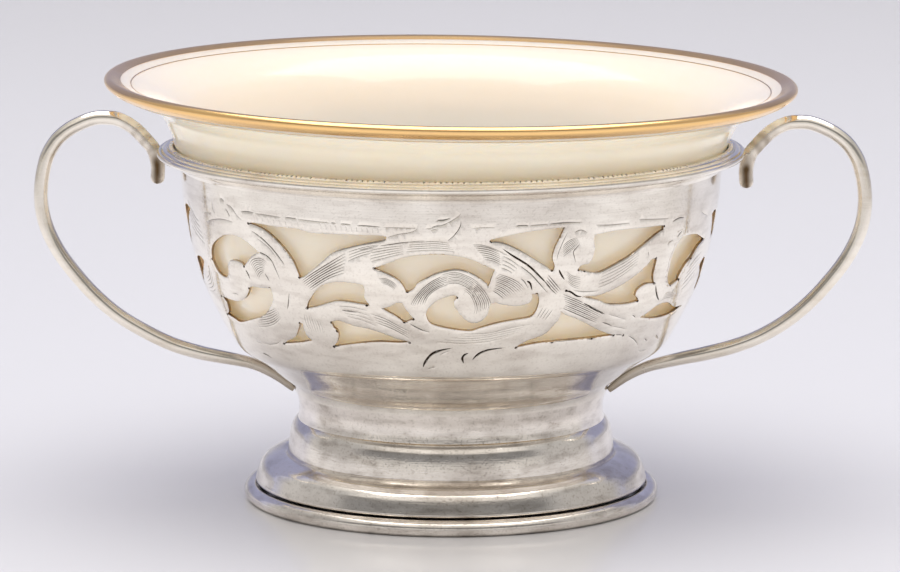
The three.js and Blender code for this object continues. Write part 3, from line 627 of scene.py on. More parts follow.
# %% Piercings
PIERCINGS = {
    "left_hook": [
        (-44.6, 40.7), (-48.7, 42.1), (-52, 42.6), (-55.3, 42.45), (-59.5, 41.5), (-62.8, 40.25),
        (-64.3, 38.8), (-64.3, 37.2), (-63.2, 36.2), (-60.8, 35.7), (-59.1, 35.9), (-58, 36.6),
        (-57.3, 37.6), (-56.3, 38.3), (-55.3, 38.7), (-53.3, 38.85), (-51.2, 38.65), (-50.4, 38.2),
        (-49.5, 38.8), (-48.3, 39.4), (-47, 40.1)],
    "left_sail": [
        (-43.5, 35.55), (-43.25, 34), (-44.5, 32.75), (-47, 31.5), (-49.9, 30.6), (-53.25, 30),
        (-56.2, 29.5), (-59.5, 29), (-62, 28.8), (-64.5, 29.1), (-68, 29.4), (-65.75, 30), (-64.7, 30.75),
        (-64.1, 31.6), (-65.3, 32.4), (-63.7, 32.3), (-60.3, 32.25), (-57.4, 32.4), (-54.5, 32.9),
        (-52.8, 33.5), (-51.6, 34.25), (-50.75, 34.9), (-49.9, 35.2), (-48.7, 35.3), (-46.2, 35.3)],
    "left_canopy": [
        (-46.8, 44.8), (-44.5, 44.6), (-41.6, 44), (-39.1, 42.9), (-37, 41.6), (-35.3, 40.1),
        (-34.5, 38.75), (-34.1, 37.75), (-32.8, 38), (-30.75, 39), (-27.8, 40.5), (-25, 41.95), (-20, 43.1),
        (-15, 43.9), (-13.3, 44.2), (-13.9, 44.7), (-20, 44.7), (-25, 44.6), (-29.9, 44.5), (-32, 44.8),
        (-34.5, 44.95), (-39.9, 44.95), (-45.3, 45)],
    "left_leaf": [
        (-33.7, 33.2), (-33.25, 34), (-32, 35), (-30.3, 36.1), (-28.25, 37), (-25.75, 37.5),
        (-23.25, 37.65), (-20, 37.5), (-19, 37.25), (-18.75, 36.6), (-19, 35.5), (-18.1, 34.4),
        (-19.6, 34.55), (-24.9, 34.8), (-28.25, 34.25), (-31.2, 33.6)],
    "small_bud": [
        (-15, 34), (-13.3, 34.4), (-11.7, 34.95), (-10.6, 34.9), (-10, 34.1), (-9, 33.25), (-8.3, 32.6),
        (-9, 32.4), (-10.4, 32.1), (-12.1, 32.9), (-13.75, 33.5)],
    "left_tongue": [
        (-28, 31.4), (-26.6, 31.7), (-24.9, 31.6), (-22.5, 31.1), (-20, 30.9), (-16.7, 30.4), (-13.3, 29.6),
        (-9.6, 28.95), (-12.5, 28.8), (-16.7, 28.8), (-20.8, 28.5), (-25, 28.05), (-29.1, 27.55),
        (-27.8, 28.4), (-27, 29.4), (-27, 30.1), (-27.8, 30.6)],
    "left_thorn": [
        (-36.9, 30.75), (-36.25, 30.6), (-36.4, 29.5), (-36.1, 28.6), (-35.1, 28.1), (-38.7, 27.6),
        (-42, 27.25), (-44.9, 26.95), (-42.8, 27.6), (-40.3, 28.25), (-39.1, 28.9), (-37.8, 29.9)],
    "crescent": [
        (-16.2, 39.95), (-13.3, 40.75), (-10, 41.6), (-6.7, 42.05), (-2.5, 42.2), (0.8, 42), (4.2, 41.45),
        (7.1, 40.5), (9.1, 39.9), (8.5, 38.75), (8.2, 38), (7.8, 37.4), (7.1, 38.1), (5.4, 39),
        (3.3, 39.75), (1.25, 40.05), (-0.8, 39.9), (-3.3, 39.4), (-5.8, 38.5), (-7.1, 37.9), (-7.9, 37.1),
        (-9, 36.7), (-9.7, 36.8), (-10.1, 37.4), (-11, 38.25), (-12.9, 39.1)],
    "kidney": [
        (-5.4, 33), (-5.4, 33.6), (-4.6, 34.5), (-2.9, 35.4), (-0.8, 36), (0.6, 36.2), (1.25, 35.9),
        (0.6, 35.1), (1, 34.25), (2.1, 33.25), (3.75, 32.25), (5.4, 32), (7.1, 32.5), (8.1, 33.5),
        (8.5, 34.75), (9.6, 35), (11.7, 34.6), (14.6, 34.4), (17.1, 34.75), (17.7, 35.5), (17.5, 36.05),
        (18.75, 36.1), (19.4, 35.25), (19.2, 34), (18.5, 33), (17.3, 32.55), (14.2, 32.3), (10.4, 31.9),
        (6.7, 31.25), (4.6, 30.8), (2.1, 30.9), (-0.8, 31.2), (-3.3, 31.6), (-4.8, 32.1)],
    "right_horn": [
        (8.1, 44), (8.3, 44.3), (11.7, 44.8), (15.8, 45.25), (20, 45.5), (23.75, 45.6), (22.9, 44.25),
        (21.9, 42.75), (21.5, 41.25), (22.1, 40.1), (21.9, 39.5), (21.25, 39.5), (20.2, 40.1), (18.3, 40.9),
        (15.8, 42), (12.5, 43.25), (10, 43.9)],
    "right_canopy": [
        (30.9, 44.2), (36.7, 44.5), (42.9, 44.4), (49.2, 44.3), (50.4, 44.1), (50.5, 43.6), (48.75, 43.25),
        (45, 42), (40.8, 40.5), (37.9, 39.75), (35, 39), (32.9, 38.6), (30.8, 38.75), (29.2, 39.05),
        (27.7, 39.25), (27.9, 39.75), (29, 39.95), (30.2, 40.1), (31, 41), (31.25, 42.25), (30.9, 43.25)],
    "right_leaf": [
        (30, 35.1), (33.75, 35.1), (36.7, 35.5), (39.6, 36.1), (42.5, 37), (45, 38), (47.1, 38.9),
        (47.9, 39.4), (49, 39.5), (49.7, 39.25), (49.6, 38.25), (49.6, 37.25), (50.2, 36.25), (51, 35.6),
        (48.75, 35.8), (46.7, 35.6), (45.4, 35), (45.2, 34.25), (46.25, 33.75), (46.2, 33.4), (45, 33.3),
        (42.5, 33.25), (39.6, 33.4), (36.7, 33.7), (34.2, 34.4)],
    "right_tongue": [
        (15.4, 28), (16.7, 28.5), (18.3, 29), (20.5, 29.4), (22.5, 30.1), (23.75, 31.1), (24.8, 32),
        (25, 33.1), (26.25, 32.6), (28.3, 32.1), (30.8, 31.4), (33.75, 30.5), (36.7, 29.6), (39.2, 29),
        (42.1, 28.45), (35.4, 28.5), (25, 28.55), (20, 28.4), (16.7, 28.1)],
    "right_comma": [
        (72, 40.3), (69.2, 40.9), (66.7, 41.45), (64.2, 41.75), (61.7, 41.9), (58.75, 41.9), (57.7, 41.5),
        (56.25, 40.5), (55.4, 39.4), (55.2, 38), (55.4, 36.75), (56.25, 35.6), (57.9, 34.75), (60, 35),
        (61.5, 35.25), (61.25, 35.75), (62.1, 36.75), (63.3, 37.6), (65, 38.1), (66.25, 38.75),
        (67.5, 39.4), (69.6, 39.9)],
    "right_sail": [
        (49.2, 30.6), (51.25, 31), (53.3, 31.6), (55, 32), (57.5, 32.1), (60, 31.9), (61.7, 31.5),
        (64.2, 30.9), (67.1, 30.6), (70, 30.5), (67.1, 30.1), (64.2, 29.9), (60, 29.8), (55.4, 29.95),
        (52.9, 30.2)],
    "left_edge_hook": [
        (-74, 44.6), (-77, 44.9), (-81, 44.6), (-84, 43.6), (-85.3, 42), (-85, 40.4), (-83.4, 39.3),
        (-81.2, 39.2), (-79.8, 40), (-79.6, 41.2), (-78.6, 42.5), (-76.6, 43.6)],
    "left_edge_leaf": [
        (-71, 37.2), (-73.5, 37.5), (-77, 37.3), (-80.3, 36.6), (-83, 35.4), (-84.3, 34.1), (-83.6, 33.1),
        (-81.6, 33), (-79.5, 33.6), (-77, 34.8), (-74, 36)],
    "right_edge_leaf": [
        (74, 36.4), (76, 37), (79, 36.9), (82, 36), (84, 34.6), (84, 33.2), (82.4, 32.2), (79.6, 32),
        (77, 32.6), (77.6, 33.8), (77, 35)],
    "right_edge_hook": [
        (75.5, 43.6), (78.5, 43.9), (82, 43.6), (84.3, 42.5), (84.6, 41), (83, 40), (80.5, 40),
        (78.6, 40.8), (77.6, 42.2)],
}
CORNER = np.radians(58)
SAWN_POINTS = 5


def sawn(ring):
    """A closed outline, counter-clockwise: smooth between the points that turn more sharply than a corner."""
    p = flat(ring)
    x, y = p.T
    if np.sum(x * np.roll(y, -1) - y * np.roll(x, -1)) < 0:
        p = p[::-1]
    ahead, behind = np.roll(p, -1, 0) - p, p - np.roll(p, 1, 0)
    turn = np.arctan2(behind[:, 0] * ahead[:, 1] - behind[:, 1] * ahead[:, 0], (behind * ahead).sum(1))
    corners = np.flatnonzero(np.abs(turn) > CORNER)
    if len(corners) == 0:
        lead = 2 * SAWN_POINTS
        return curve(np.vstack([p[-2:], p, p[:2]]), SAWN_POINTS)[lead:-(lead + 1)]
    p = np.roll(p, -corners[0], 0)
    stops = np.append(corners - corners[0], len(p))
    p = np.vstack([p, p[:1]])
    return np.vstack([curve(p[a:b + 1], SAWN_POINTS)[:-1] for a, b in zip(stops[:-1], stops[1:])])


outlines = [sawn(ring) for ring in PIERCINGS.values()]
print(len(outlines), "piercings in half the bowl,", sum(len(o) for o in outlines), "points")

# %% [markdown]
# The graver's work comes in two kinds. Single strokes follow a stem or an edge, thick where the
# tool was pushed hard: each row is a width, a darkness and the points it runs through. Shading is
# many thin strokes laid side by side between two guide strokes, which is how scrolls get their
# roundness: each row starts with how many. The saw starts in small drilled holes, and they show.

# %% Engraved strokes and the saw's holes
SINGLE_STROKES = [
    (0.44, 1, (-7, 25), (-6.2, 26), (-4.6, 27.2), (-2.5, 27.8), (0.4, 28.2)),
    (0.14, 0.9, (-5.9, 24.8), (-4.7, 25.05), (-3.6, 25.2)),
    (0.38, 1, (3.1, 25.7), (2.7, 26.5), (3.2, 27.1), (4.2, 27.4)),
    (0.36, 1, (5, 26.2), (6.5, 27.2), (8.8, 27.8), (13, 28.1)),
    (0.12, 0.7, (-2.8, 27), (-1.8, 27.4), (-0.2, 27.8)),
    (0.15, 1, (-49, 46.45), (-46.7, 46.55), (-44.5, 46.55)),
    (0.07, 0.8, (-44.7, 46.5), (-40, 46.45), (-37, 46.4)),
    (0.12, 1, (-36.2, 46.45), (-34.6, 46.45), (-33, 46.4)),
    (0.06, 0.6, (-33.2, 46.4), (-29, 46.3), (-25, 46.25)),
    (0.11, 1, (-25.3, 46.25), (-24.6, 46.25), (-23.9, 46.22)),
    (0.12, 1, (-23, 46.2), (-21.8, 46.2), (-20.6, 46.18)),
    (0.14, 1, (-19.5, 46.12), (-17, 46.1), (-14, 46.02)),
    (0.06, 0.7, (-14.2, 46), (-10, 46), (-6.5, 46)),
    (0.04, 0.6, (4, 46), (6.5, 46.1), (9, 46.1)),
    (0.12, 1, (13, 46.2), (14.5, 46.25), (16, 46.2)),
    (0.06, 0.8, (15.8, 46.2), (18, 46.25), (20, 46.3)),
    (0.11, 1, (20, 46.3), (24, 46.35), (28, 46.2)),
    (0.08, 0.8, (30.7, 45.7), (33.5, 45.5), (37, 45.45), (39.8, 45.45)),
    (0.09, 0.8, (41.8, 45.8), (44.8, 45.6), (48.5, 45.35), (52, 45.2)),
    (0.22, 1, (53, 44.5), (55.5, 44.9), (58, 44.8)),
    (0.19, 1, (-2.9, 47.2), (-1.5, 47.2), (0, 47.5)),
    (0.1, 0.6, (-13.5, 44.45), (-11, 45), (-8.4, 45.35), (-7, 45.8), (-6.6, 46.6)),
    (0.1, 1, (-4, 46.1), (-3, 46.35), (-2, 46.5)),
    (0.07, 0.9, (-4.2, 45.7), (-3.4, 45.85), (-2.6, 46)),
    (0.06, 0.7, (-5.4, 45.9), (-3.6, 46.1), (-1, 46.7), (1.2, 47.6), (2, 48.2)),
    (0.16, 1, (2, 47.2), (1.9, 46.4), (1.2, 45.5), (0.2, 44.7), (-0.8, 44.2)),
    (0.16, 1, (-15, 43.25), (-12, 43.6), (-10, 43.85), (-5, 44.25)),
    (0.12, 0.8, (-19.6, 42.5), (-17.2, 42.9), (-14.6, 43.4)),
    (0.1, 0.7, (4.2, 43.75), (6.7, 43.5), (9.4, 42.8), (12, 41.9)),
    (0.3, 1, (10.4, 43.05), (12.5, 42), (14.6, 41.1), (16.7, 40.1), (19.8, 38.1), (22.1, 36.6)),
    (0.2, 1, (14, 40.6), (16.7, 39.2), (19, 37.6), (21.3, 36)),
    (0.28, 1, (16, 38.2), (16.9, 37.7), (17.5, 36.6)),
    (0.16, 1, (14.6, 38.6), (15.6, 38), (16.6, 36.9)),
    (0.14, 0.8, (3.9, 36.3), (4.6, 36.4), (5.2, 35.6)),
    (0.26, 1, (-9.3, 31.95), (-7.9, 31.4), (-6.5, 30.95), (-4.6, 30.6)),
    (0.18, 0.9, (-25, 33.45), (-23, 33.35), (-20.8, 33.25)),
    (0.1, 0.7, (-24.2, 33), (-22.6, 32.9), (-21, 32.85)),
    (0.28, 1, (25, 36.25), (26.4, 36.1), (28.3, 35.35), (29.7, 35.2)),
    (0.28, 1, (30, 34.3), (33.4, 33.1), (37, 32.05)),
    (0.24, 1, (36.6, 30.9), (38.5, 30.5), (40.5, 30)),
    (0.1, 0.8, (40.4, 30), (43, 29.6), (46, 29.1)),
    (0.1, 0.7, (37.5, 32.1), (41, 31.4), (44.6, 30.6)),
    (0.2, 1, (45.8, 31.3), (46.6, 31.1), (47.4, 30.75)),
    (0.18, 1, (27.5, 43.1), (26.8, 42.6), (26.1, 42), (26.5, 41.1), (26.9, 40.3)),
    (0.13, 0.8, (25.8, 44.8), (27.4, 45.1), (29.2, 44.6)),
    (0.12, 1, (24.5, 45.1), (23.4, 43.4), (22.6, 41.8), (22.4, 40.8)),
    (0.28, 1, (23, 39.6), (23.7, 38.8), (24.7, 37.9)),
    (0.14, 0.8, (27, 36.3), (29, 36), (31, 35.85), (34.3, 35.8)),
    (0.14, 0.7, (46.2, 40.8), (46.4, 40.4), (46.7, 40.1)),
    (0.16, 0.7, (52.5, 41.2), (53.5, 41.6), (54.5, 41.8)),
    (0.26, 1, (-47, 40.45), (-45.5, 40.8), (-43, 40.55), (-41.3, 39.9), (-40.2, 38.4), (-39.6, 37)),
    (0.22, 1, (-43.9, 37.8), (-43.4, 37.2), (-43, 36.5)),
    (0.28, 1, (-50.2, 37.8), (-49.7, 37.2), (-49.4, 36.3)),
    (0.14, 0.7, (-58.6, 33.5), (-57.2, 33.6), (-55.6, 33.5)),
    (0.24, 1, (-46.4, 43.9), (-43.5, 43.05), (-40.5, 41.6), (-38.4, 40.1), (-37.5, 39.3)),
    (0.1, 0.8, (-45, 43), (-41.5, 41.7), (-39.3, 40.1)),
    (0.14, 0.7, (-64, 43.6), (-60, 44.3), (-56, 44.7), (-51.5, 44.65)),
    (0.24, 1, (-39.4, 32.6), (-38.6, 33.8), (-37.8, 35.4)),
    (0.34, 1, (51.4, 35.4), (52.9, 33.8), (54.6, 32.7)),
    (0.3, 0.9, (60.2, 34.2), (59.8, 33.2), (59.9, 32.5)),
    (0.2, 0.8, (61, 27), (62.7, 26.5), (64.5, 26)),
    (0.16, 0.7, (55.5, 25), (58, 24.7), (61, 24.9)),
    (0.09, 0.7, (66, 45), (68, 44.4), (71.5, 43.8)),
    (0.22, 1, (42.6, 28.5), (44.1, 28.38), (45.6, 28.2)),
    (0.2, 0.8, (47.5, 28), (50, 27.35), (52, 26.7), (54.3, 25.8)),
    (0.2, 0.9, (55.5, 26.9), (56.5, 26.6), (57.5, 26.3)),
    (0.26, 1, (56.2, 42.1), (56.7, 42.4), (58, 42.95)),
    (0.32, 0.8, (-57, 24.5), (-55, 24.35), (-53.2, 24)),
    (0.14, 0.7, (-57, 26.3), (-55.7, 26.2), (-54.5, 26.1)),
    (0.15, 0.8, (-53.6, 26.3), (-50.5, 26.4), (-47.6, 26.8), (-46, 27.2)),
    (0.12, 1, (-56, 47.75), (-55.3, 47.65), (-54.6, 47.4)),
    (0.1, 0.8, (-54, 47.1), (-52.5, 46.9), (-51.3, 46.4), (-50.4, 45.8), (-48.6, 45.15)),
    (0.16, 0.9, (-54.3, 46.5), (-53.5, 45.9), (-52.7, 45.3)),
    (0.12, 0.9, (-59.8, 47), (-59.6, 46), (-58.6, 45.3)),
    (0.11, 0.8, (-64.2, 45), (-62, 45.05), (-60.2, 45.3)),
]
SHADING = [
    (7, 0.17, 1, [(-8.6, 34.7), (-7.5, 36), (-5.5, 37.5), (-3.2, 38.6), (-1, 39.15)],
     [(-6, 34.6), (-5.2, 35.8), (-3.6, 36.9), (-1.8, 37.6), (-0.4, 37.9)]),
    (8, 0.1, 0.8, [(-2, 39.1), (0.6, 39.6), (3, 39.2), (5.2, 38.3), (7.1, 36.8)],
     [(-1.6, 37.6), (0.6, 38.1), (2.6, 37.7), (4.2, 36.9), (5.2, 35.8)]),
    (9, 0.14, 0.9, [(4.4, 38.4), (6, 37.6), (7.6, 36.3), (8.6, 34.8), (8.3, 33.9)],
     [(2.6, 37), (4, 36.3), (4.9, 35.2), (5.2, 34.3), (4.9, 33.4)]),
    (12, 0.13, 0.9, [(9.6, 39.4), (12, 38.8), (14.2, 38), (16, 36.9)],
     [(8.9, 36.8), (9.7, 36.5), (10.5, 36.1), (11.3, 35.6)]),
    (5, 0.12, 0.9, [(-15.6, 38.6), (-13.6, 38.5), (-12, 37.9), (-11.3, 37.3)],
     [(-14.6, 37.8), (-13.6, 37.7), (-12.6, 37.3), (-12.2, 36.9)]),
    (4, 0.14, 0.9, [(-18.4, 33.3), (-15, 32.6), (-11.8, 31.5), (-8.8, 30.5)],
     [(-17, 31.9), (-13.6, 31.1), (-11.2, 30.3), (-9.4, 29.6)]),
    (8, 0.16, 1, [(25, 35.7), (28, 34.9), (32, 33.7), (36.8, 32.2)],
     [(25.2, 33.7), (28, 32.9), (31.5, 31.9), (35.2, 30.9)]),
    (7, 0.11, 0.9, [(23.6, 43), (25, 43.7), (26.4, 44)], [(23.5, 41.3), (25.4, 42.2), (27.8, 43.4)]),
    (7, 0.1, 0.8, [(24.9, 39.2), (26.3, 38.5), (28.4, 38.1)], [(25.4, 37.5), (27, 36.8), (29, 36.3)]),
    (4, 0.18, 1, [(20.5, 39), (22.3, 37.7), (24.3, 36.3)], [(20, 37.9), (21.6, 36.8), (23.3, 35.8)]),
    (9, 0.12, 0.9, [(-48.3, 38.7), (-47, 39.5), (-44.5, 39.9), (-42.6, 39.4)],
     [(-46.3, 36.8), (-45.6, 37.3), (-44.8, 37.7), (-44, 37.9)]),
    (7, 0.14, 0.9, [(-49, 31.3), (-46, 31.8), (-43.2, 32.5)],
     [(-53.2, 28.9), (-49, 29.3), (-45, 30.1), (-41.5, 31.4)]),
    (7, 0.09, 0.7, [(-34.8, 32.3), (-35, 31), (-34.6, 29.7)], [(-31.2, 31.8), (-30.8, 30.5), (-31, 29.4)]),
    (7, 0.19, 1, [(-33.4, 37.4), (-30.3, 38.7), (-26.6, 40.2), (-22.5, 41.9)],
     [(-32.4, 35.8), (-29.5, 37), (-26, 38.3), (-22.2, 39.3)]),
    (4, 0.1, 0.8, [(-22, 42.1), (-18, 43), (-14.5, 43.5)], [(-22, 40.8), (-19, 41.7), (-16.6, 42.2)]),
    (5, 0.09, 0.7, [(-17.6, 42.5), (-14, 43), (-9.5, 43.5)], [(-16.6, 41), (-13.6, 41.6), (-10, 42.3)]),
    (5, 0.08, 0.7, [(-9, 43.9), (-3.5, 44.1), (0, 43.9)], [(-9, 42.6), (-3.5, 42.9), (0.5, 42.7)]),
    (7, 0.13, 0.9, [(4.6, 43.5), (7.4, 43.2), (9.8, 42.5)], [(6.8, 41.6), (8.8, 41.2), (10.6, 40.6)]),
    (4, 0.1, 0.8, [(10.6, 42), (12.6, 41.2), (14.6, 40.2)], [(10.4, 40.2), (11.6, 39.9), (12.9, 39.4)]),
    (5, 0.09, 0.7, [(33, 38.2), (36.5, 39), (40, 39.8), (44, 41.1)],
     [(33.5, 36.4), (36.5, 36.9), (40, 38), (43, 39.2)]),
    (4, 0.12, 0.8, [(19.2, 32.4), (19.9, 33.3), (20.6, 34.2)], [(21.2, 32), (22, 32.8), (22.8, 33.6)]),
    (5, 0.08, 0.6, [(2, 30.3), (8, 30.4), (14, 31.2), (19, 31.6)],
     [(-3, 29.2), (3, 28.9), (9, 29.2), (14.4, 30.2)]),
    (4, 0.08, 0.6, [(-24, 32.6), (-20, 32.1), (-16.5, 31.2)], [(-25.4, 34), (-22, 34), (-18.4, 33.6)]),
    (4, 0.1, 0.7, [(56, 33.5), (58.5, 33.7), (62, 33)], [(55, 32.7), (58, 32.9), (61.5, 32.5)]),
    (5, 0.12, 0.8, [(65, 36.5), (68, 37.8), (72, 38.6)], [(64.5, 33.5), (68, 34.2), (71.5, 35.2)]),
    (5, 0.12, 0.8, [(-68, 43.2), (-71, 43.8), (-76, 46)], [(-67, 40.2), (-70.5, 40.8), (-75, 42)]),
    (5, 0.12, 0.8, [(-67.5, 36.8), (-70, 35.2), (-74, 34.2)], [(-68.5, 33.2), (-71, 32.6), (-75, 32.4)]),
    (12, 0.07, 0.6, [(-27.5, 46), (-27.4, 45.6), (-27.5, 45.2)], [(-15, 45.9), (-14.9, 45.5), (-15, 45.1)]),
    (8, 0.06, 0.5, [(-44, 46.1), (-43.9, 45.7), (-44, 45.3)], [(-33, 46), (-32.9, 45.6), (-33, 45.3)]),
]
SAW_STARTS = [
    (-46.8, 44.8), (-34.1, 37.75), (-50.4, 38.2), (-43.5, 35.55), (-50.75, 34.9), (-33.7, 33.2),
    (-36.9, 30.75), (-44.9, 26.95), (-28, 31.4), (-27, 30.1), (-29.1, 27.55), (-9.6, 28.95), (-9.3, 36.7),
    (-8.3, 32.6), (-18.6, 34.4), (-10.4, 32.1), (1.25, 35.9), (8.1, 44), (21.5, 39.5), (18.6, 36.1),
    (15.4, 28), (24.4, 28.5), (27.7, 39.3), (29.2, 39.05), (25.4, 36.3), (46.2, 33.4), (49.2, 39.5),
    (51, 35.6), (50.4, 44.1), (45.6, 28.2), (57.9, 34.75), (61.5, 35.25), (65, 38.1), (-64.3, 38),
    (-65.6, 32.4), (-68, 29.4), (-16.2, 39.95), (42.1, 28.45), (35.3, 28.45),
]

# %% [markdown]
# A stroke becomes lines on the flat layout: one along its middle and one along each edge. It
# swells from its start and thins out to its end. Shading strokes vary a little in length and width,
# as a hand's do.

# %% The strokes as lines
STROKE_GAIN = 1.05
SWELL, FADE, TAPER_POWER = 0.25, 0.35, 0.7
GUIDE_POINTS = 7
LENGTH_STRAY, WIDTH_STRAY = 0.08, 0.35


def stroke(width, dark, points):
    """One cut: its middle line, and its two edges half a width away, tapered to nothing at both ends."""
    middle = curve(flat(points), 4)
    share = np.linspace(0, 1, len(middle))
    taper = np.minimum(1, np.minimum(share / SWELL, (1 - share) / FADE)) ** TAPER_POWER
    half = STROKE_GAIN * width / 2 * taper
    aside = -right_of(directions(middle)) * half[:, None]
    return middle, middle + aside, middle - aside, half, dark


def evenly(guide):
    """A guide stroke at a set number of points, so that two guides can be blended."""
    fine = curve(guide, 6)
    return fine[np.linspace(0, len(fine) - 1, GUIDE_POINTS).astype(int)]


strokes = [stroke(width, dark, points) for width, dark, *points in SINGLE_STROKES]
for count, width, dark, *guides in SHADING:
    one, two = (evenly(guide) for guide in guides)
    for k in range(count):
        share = k / (count - 1)
        line = one * (1 - share) + two * share
        trim = LENGTH_STRAY * np.sin(7.0 * k + count)
        line = line + (line[-1] - line[0]) * np.linspace(-trim, trim, GUIDE_POINTS)[:, None] * 0.5
        strokes.append(stroke(width * (1.0 + WIDTH_STRAY * np.sin(3.0 * k)), dark, line))
print(len(strokes), "engraved strokes in half the bowl")

# %% [markdown]
# Now the sheet itself. The triangulation gets the edges of the half sheet, the sawn outlines with
# a second ring just outside each for the worn arris, the strokes, and an even grid that keeps the
# roundness. A stroke's middle line is sunk, and a broad stroke gets two more sunk lines beside it,
# for the flat bottom that a wide graver leaves.

# %% The flat layout
GRID_STEP = 0.9
ARRIS, ARRIS_SINK = 0.2, 0.11
CUT_DEPTH, DEEPEST_CUT, BROAD_CUT = 0.55, 0.1, 0.14
HOLE_SIDES, HOLE_RADIUS, HOLE_SURROUND, HOLE_REACH = 8, 0.18, 1.4, 1.05
TOUCHING, JOINING = 1e-6, 1e-5


def sheet_layout():
    """Points, lines and rings of the flat layout; how far each point is sunk; and its stain."""
    points, edges, rings, sunk, stain = [], [], [], [], []
    count = 0

    def add(p, depth=0.0, dark=0.0, closed=None):
        """Adds points that form a ring (closed is True), a line (False) or neither (None)."""
        nonlocal count
        ids = np.arange(count, count + len(p))
        points.append(p)
        sunk.append(np.broadcast_to(depth, len(p)))
        stain.append(np.broadcast_to(dark, len(p)))
        count += len(p)
        if closed is not None:
            pairs = np.stack([ids, np.roll(ids, -1)], -1)
            edges.append(pairs if closed else pairs[:-1])
        return ids

    left, right = LEFT_SEAM * PER_DEGREE, RIGHT_SEAM * PER_DEGREE
    top = side_length[-1]
    across, up = int((right - left) / GRID_STEP), int(top / GRID_STEP)
    corners = [(left, 0), (right, 0), (right, top), (left, top)]
    runs = zip(corners, corners[1:] + corners[:1], (across, up, across, up))
    add(np.vstack([np.linspace(a, b, n, endpoint=False) for a, b, n in runs]), closed=True)
    for outline in outlines:
        rings.append(add(outline, ARRIS_SINK, closed=True).tolist())
        step = np.roll(outline, -1, 0) - np.roll(outline, 1, 0)
        step /= np.linalg.norm(step, axis=1, keepdims=True)
        add(outline + right_of(step) * ARRIS, closed=True)
    for middle, one, two, half, dark in strokes:
        bottom = np.minimum(half[1:-1] * CUT_DEPTH, DEEPEST_CUT)
        add(middle[1:-1], bottom, dark, closed=False)
        if half.max() > BROAD_CUT:
            for edge in (one, two):
                add((middle + edge)[1:-1] / 2, bottom, dark, closed=False)
        add(one, closed=False)
        add(two, closed=False)
    turn = round_turn(HOLE_SIDES)
    round_hole = np.stack([np.cos(turn), np.sin(turn)], -1) * HOLE_RADIUS
    for hole in flat(SAW_STARTS):
        add(hole[None], 0.0, 1.0)
        add(hole + round_hole, 0.0, 1.0)
        add(hole + round_hole * HOLE_SURROUND)
    gu, gv = np.meshgrid(np.linspace(left, right, across + 1)[1:-1], np.linspace(0, top, up + 1)[1:-1])
    gu = gu + GRID_STEP / 4 * (np.arange(up - 1) % 2)[:, None]
    add(np.stack([gu.ravel(), gv.ravel()], -1))
    return np.vstack(points), np.vstack(edges), rings, np.concatenate(sunk), np.concatenate(stain)


def half_sheet():
    """Triangulates the layout, leaves out what the saw took, and returns flat points, triangles,
    depth and stain. Points that fall together take the deepest one's depth, and a point that the
    triangulation adds where two lines cross is not sunk."""
    points, edges, rings, sunk, stain = sheet_layout()
    found = delaunay_2d_cdt([Vector(p) for p in points], edges.tolist(), rings, 0, JOINING)
    flat_points = np.array([tuple(p) for p in found[0]])
    triangles = np.array([f for f, inside in zip(found[2], found[5]) if not inside])
    sources = np.fromiter((source for group in found[3] for source in group), int)
    owners = np.repeat(np.arange(len(flat_points)), [len(group) for group in found[3]])
    depth, dark = np.zeros((2, len(flat_points)))
    np.maximum.at(depth, owners, sunk[sources])
    np.maximum.at(dark, owners, stain[sources])
    for hole in flat(SAW_STARTS):
        dark[np.hypot(*(flat_points - hole).T) < HOLE_RADIUS * HOLE_REACH] = 1.0
    return flat_points, triangles, depth, dark


# %% [markdown]
# The triangles are raised onto the bowl. The same ones, a sheet's thickness inwards, make the
# inside, and quads close the sawn edges. The second half is the first turned by half a turn, and
# two discs make the base and the floor inside it.

# %% The pierced sheet
OUTSIDE, INSIDE, SAWN_EDGE = 0, 1, 2
SUNK_INSIDE = 0.5


def bowl():
    """Points, faces, each face's kind, each point's stain, and the points of the lowest rings."""
    flat_points, triangles, depth, dark = half_sheet()
    count = len(flat_points)
    half = np.vstack([raised(flat_points, depth), raised(flat_points, SHEET - depth * SUNK_INSIDE)])
    points = np.vstack([half, half * [-1, -1, 1]])
    pairs = np.concatenate([triangles[:, [a, b]] for a, b in ((0, 1), (1, 2), (2, 0))])
    open_pairs = pairs[~np.isin(pairs @ [count, 1], pairs @ [1, count])]
    mm_round, mm_up = np.moveaxis(flat_points[open_pairs], -1, 0)
    at_seam = (mm_up < TOUCHING).all(1)
    for seam in (LEFT_SEAM, RIGHT_SEAM):
        at_seam |= np.isclose(mm_round, seam * PER_DEGREE).all(1)
    a, b = open_pairs[~at_seam].T
    walls = np.stack([b, a, a + count, b + count], -1)
    skin = np.concatenate([triangles, triangles[:, [0, 2, 1]] + count])
    half_faces = np.concatenate([skin[:, [0, 1, 2, 2]], walls])
    faces = np.concatenate([half_faces, half_faces + 2 * count])
    counts = [len(triangles), len(triangles), len(walls)]
    kinds = np.tile(np.repeat([OUTSIDE, INSIDE, SAWN_EDGE], counts), 2)
    stain = np.tile(np.append(dark, np.zeros(count)), 2)
    lowest = np.flatnonzero(flat_points[:, 1] < TOUCHING)
    bottoms = [np.concatenate([lowest + first, lowest + first + 2 * count]) for first in (0, count)]
    return points, faces, kinds, stain, bottoms


def in_order(points, at):
    """The numbers of some points in order round the axis, one for each direction."""
    angle = np.arctan2(points[at, 0], -points[at, 1])
    apart = np.append(True, np.abs(np.diff(np.sort(angle))) > TOUCHING)
    return at[np.argsort(angle)][apart]


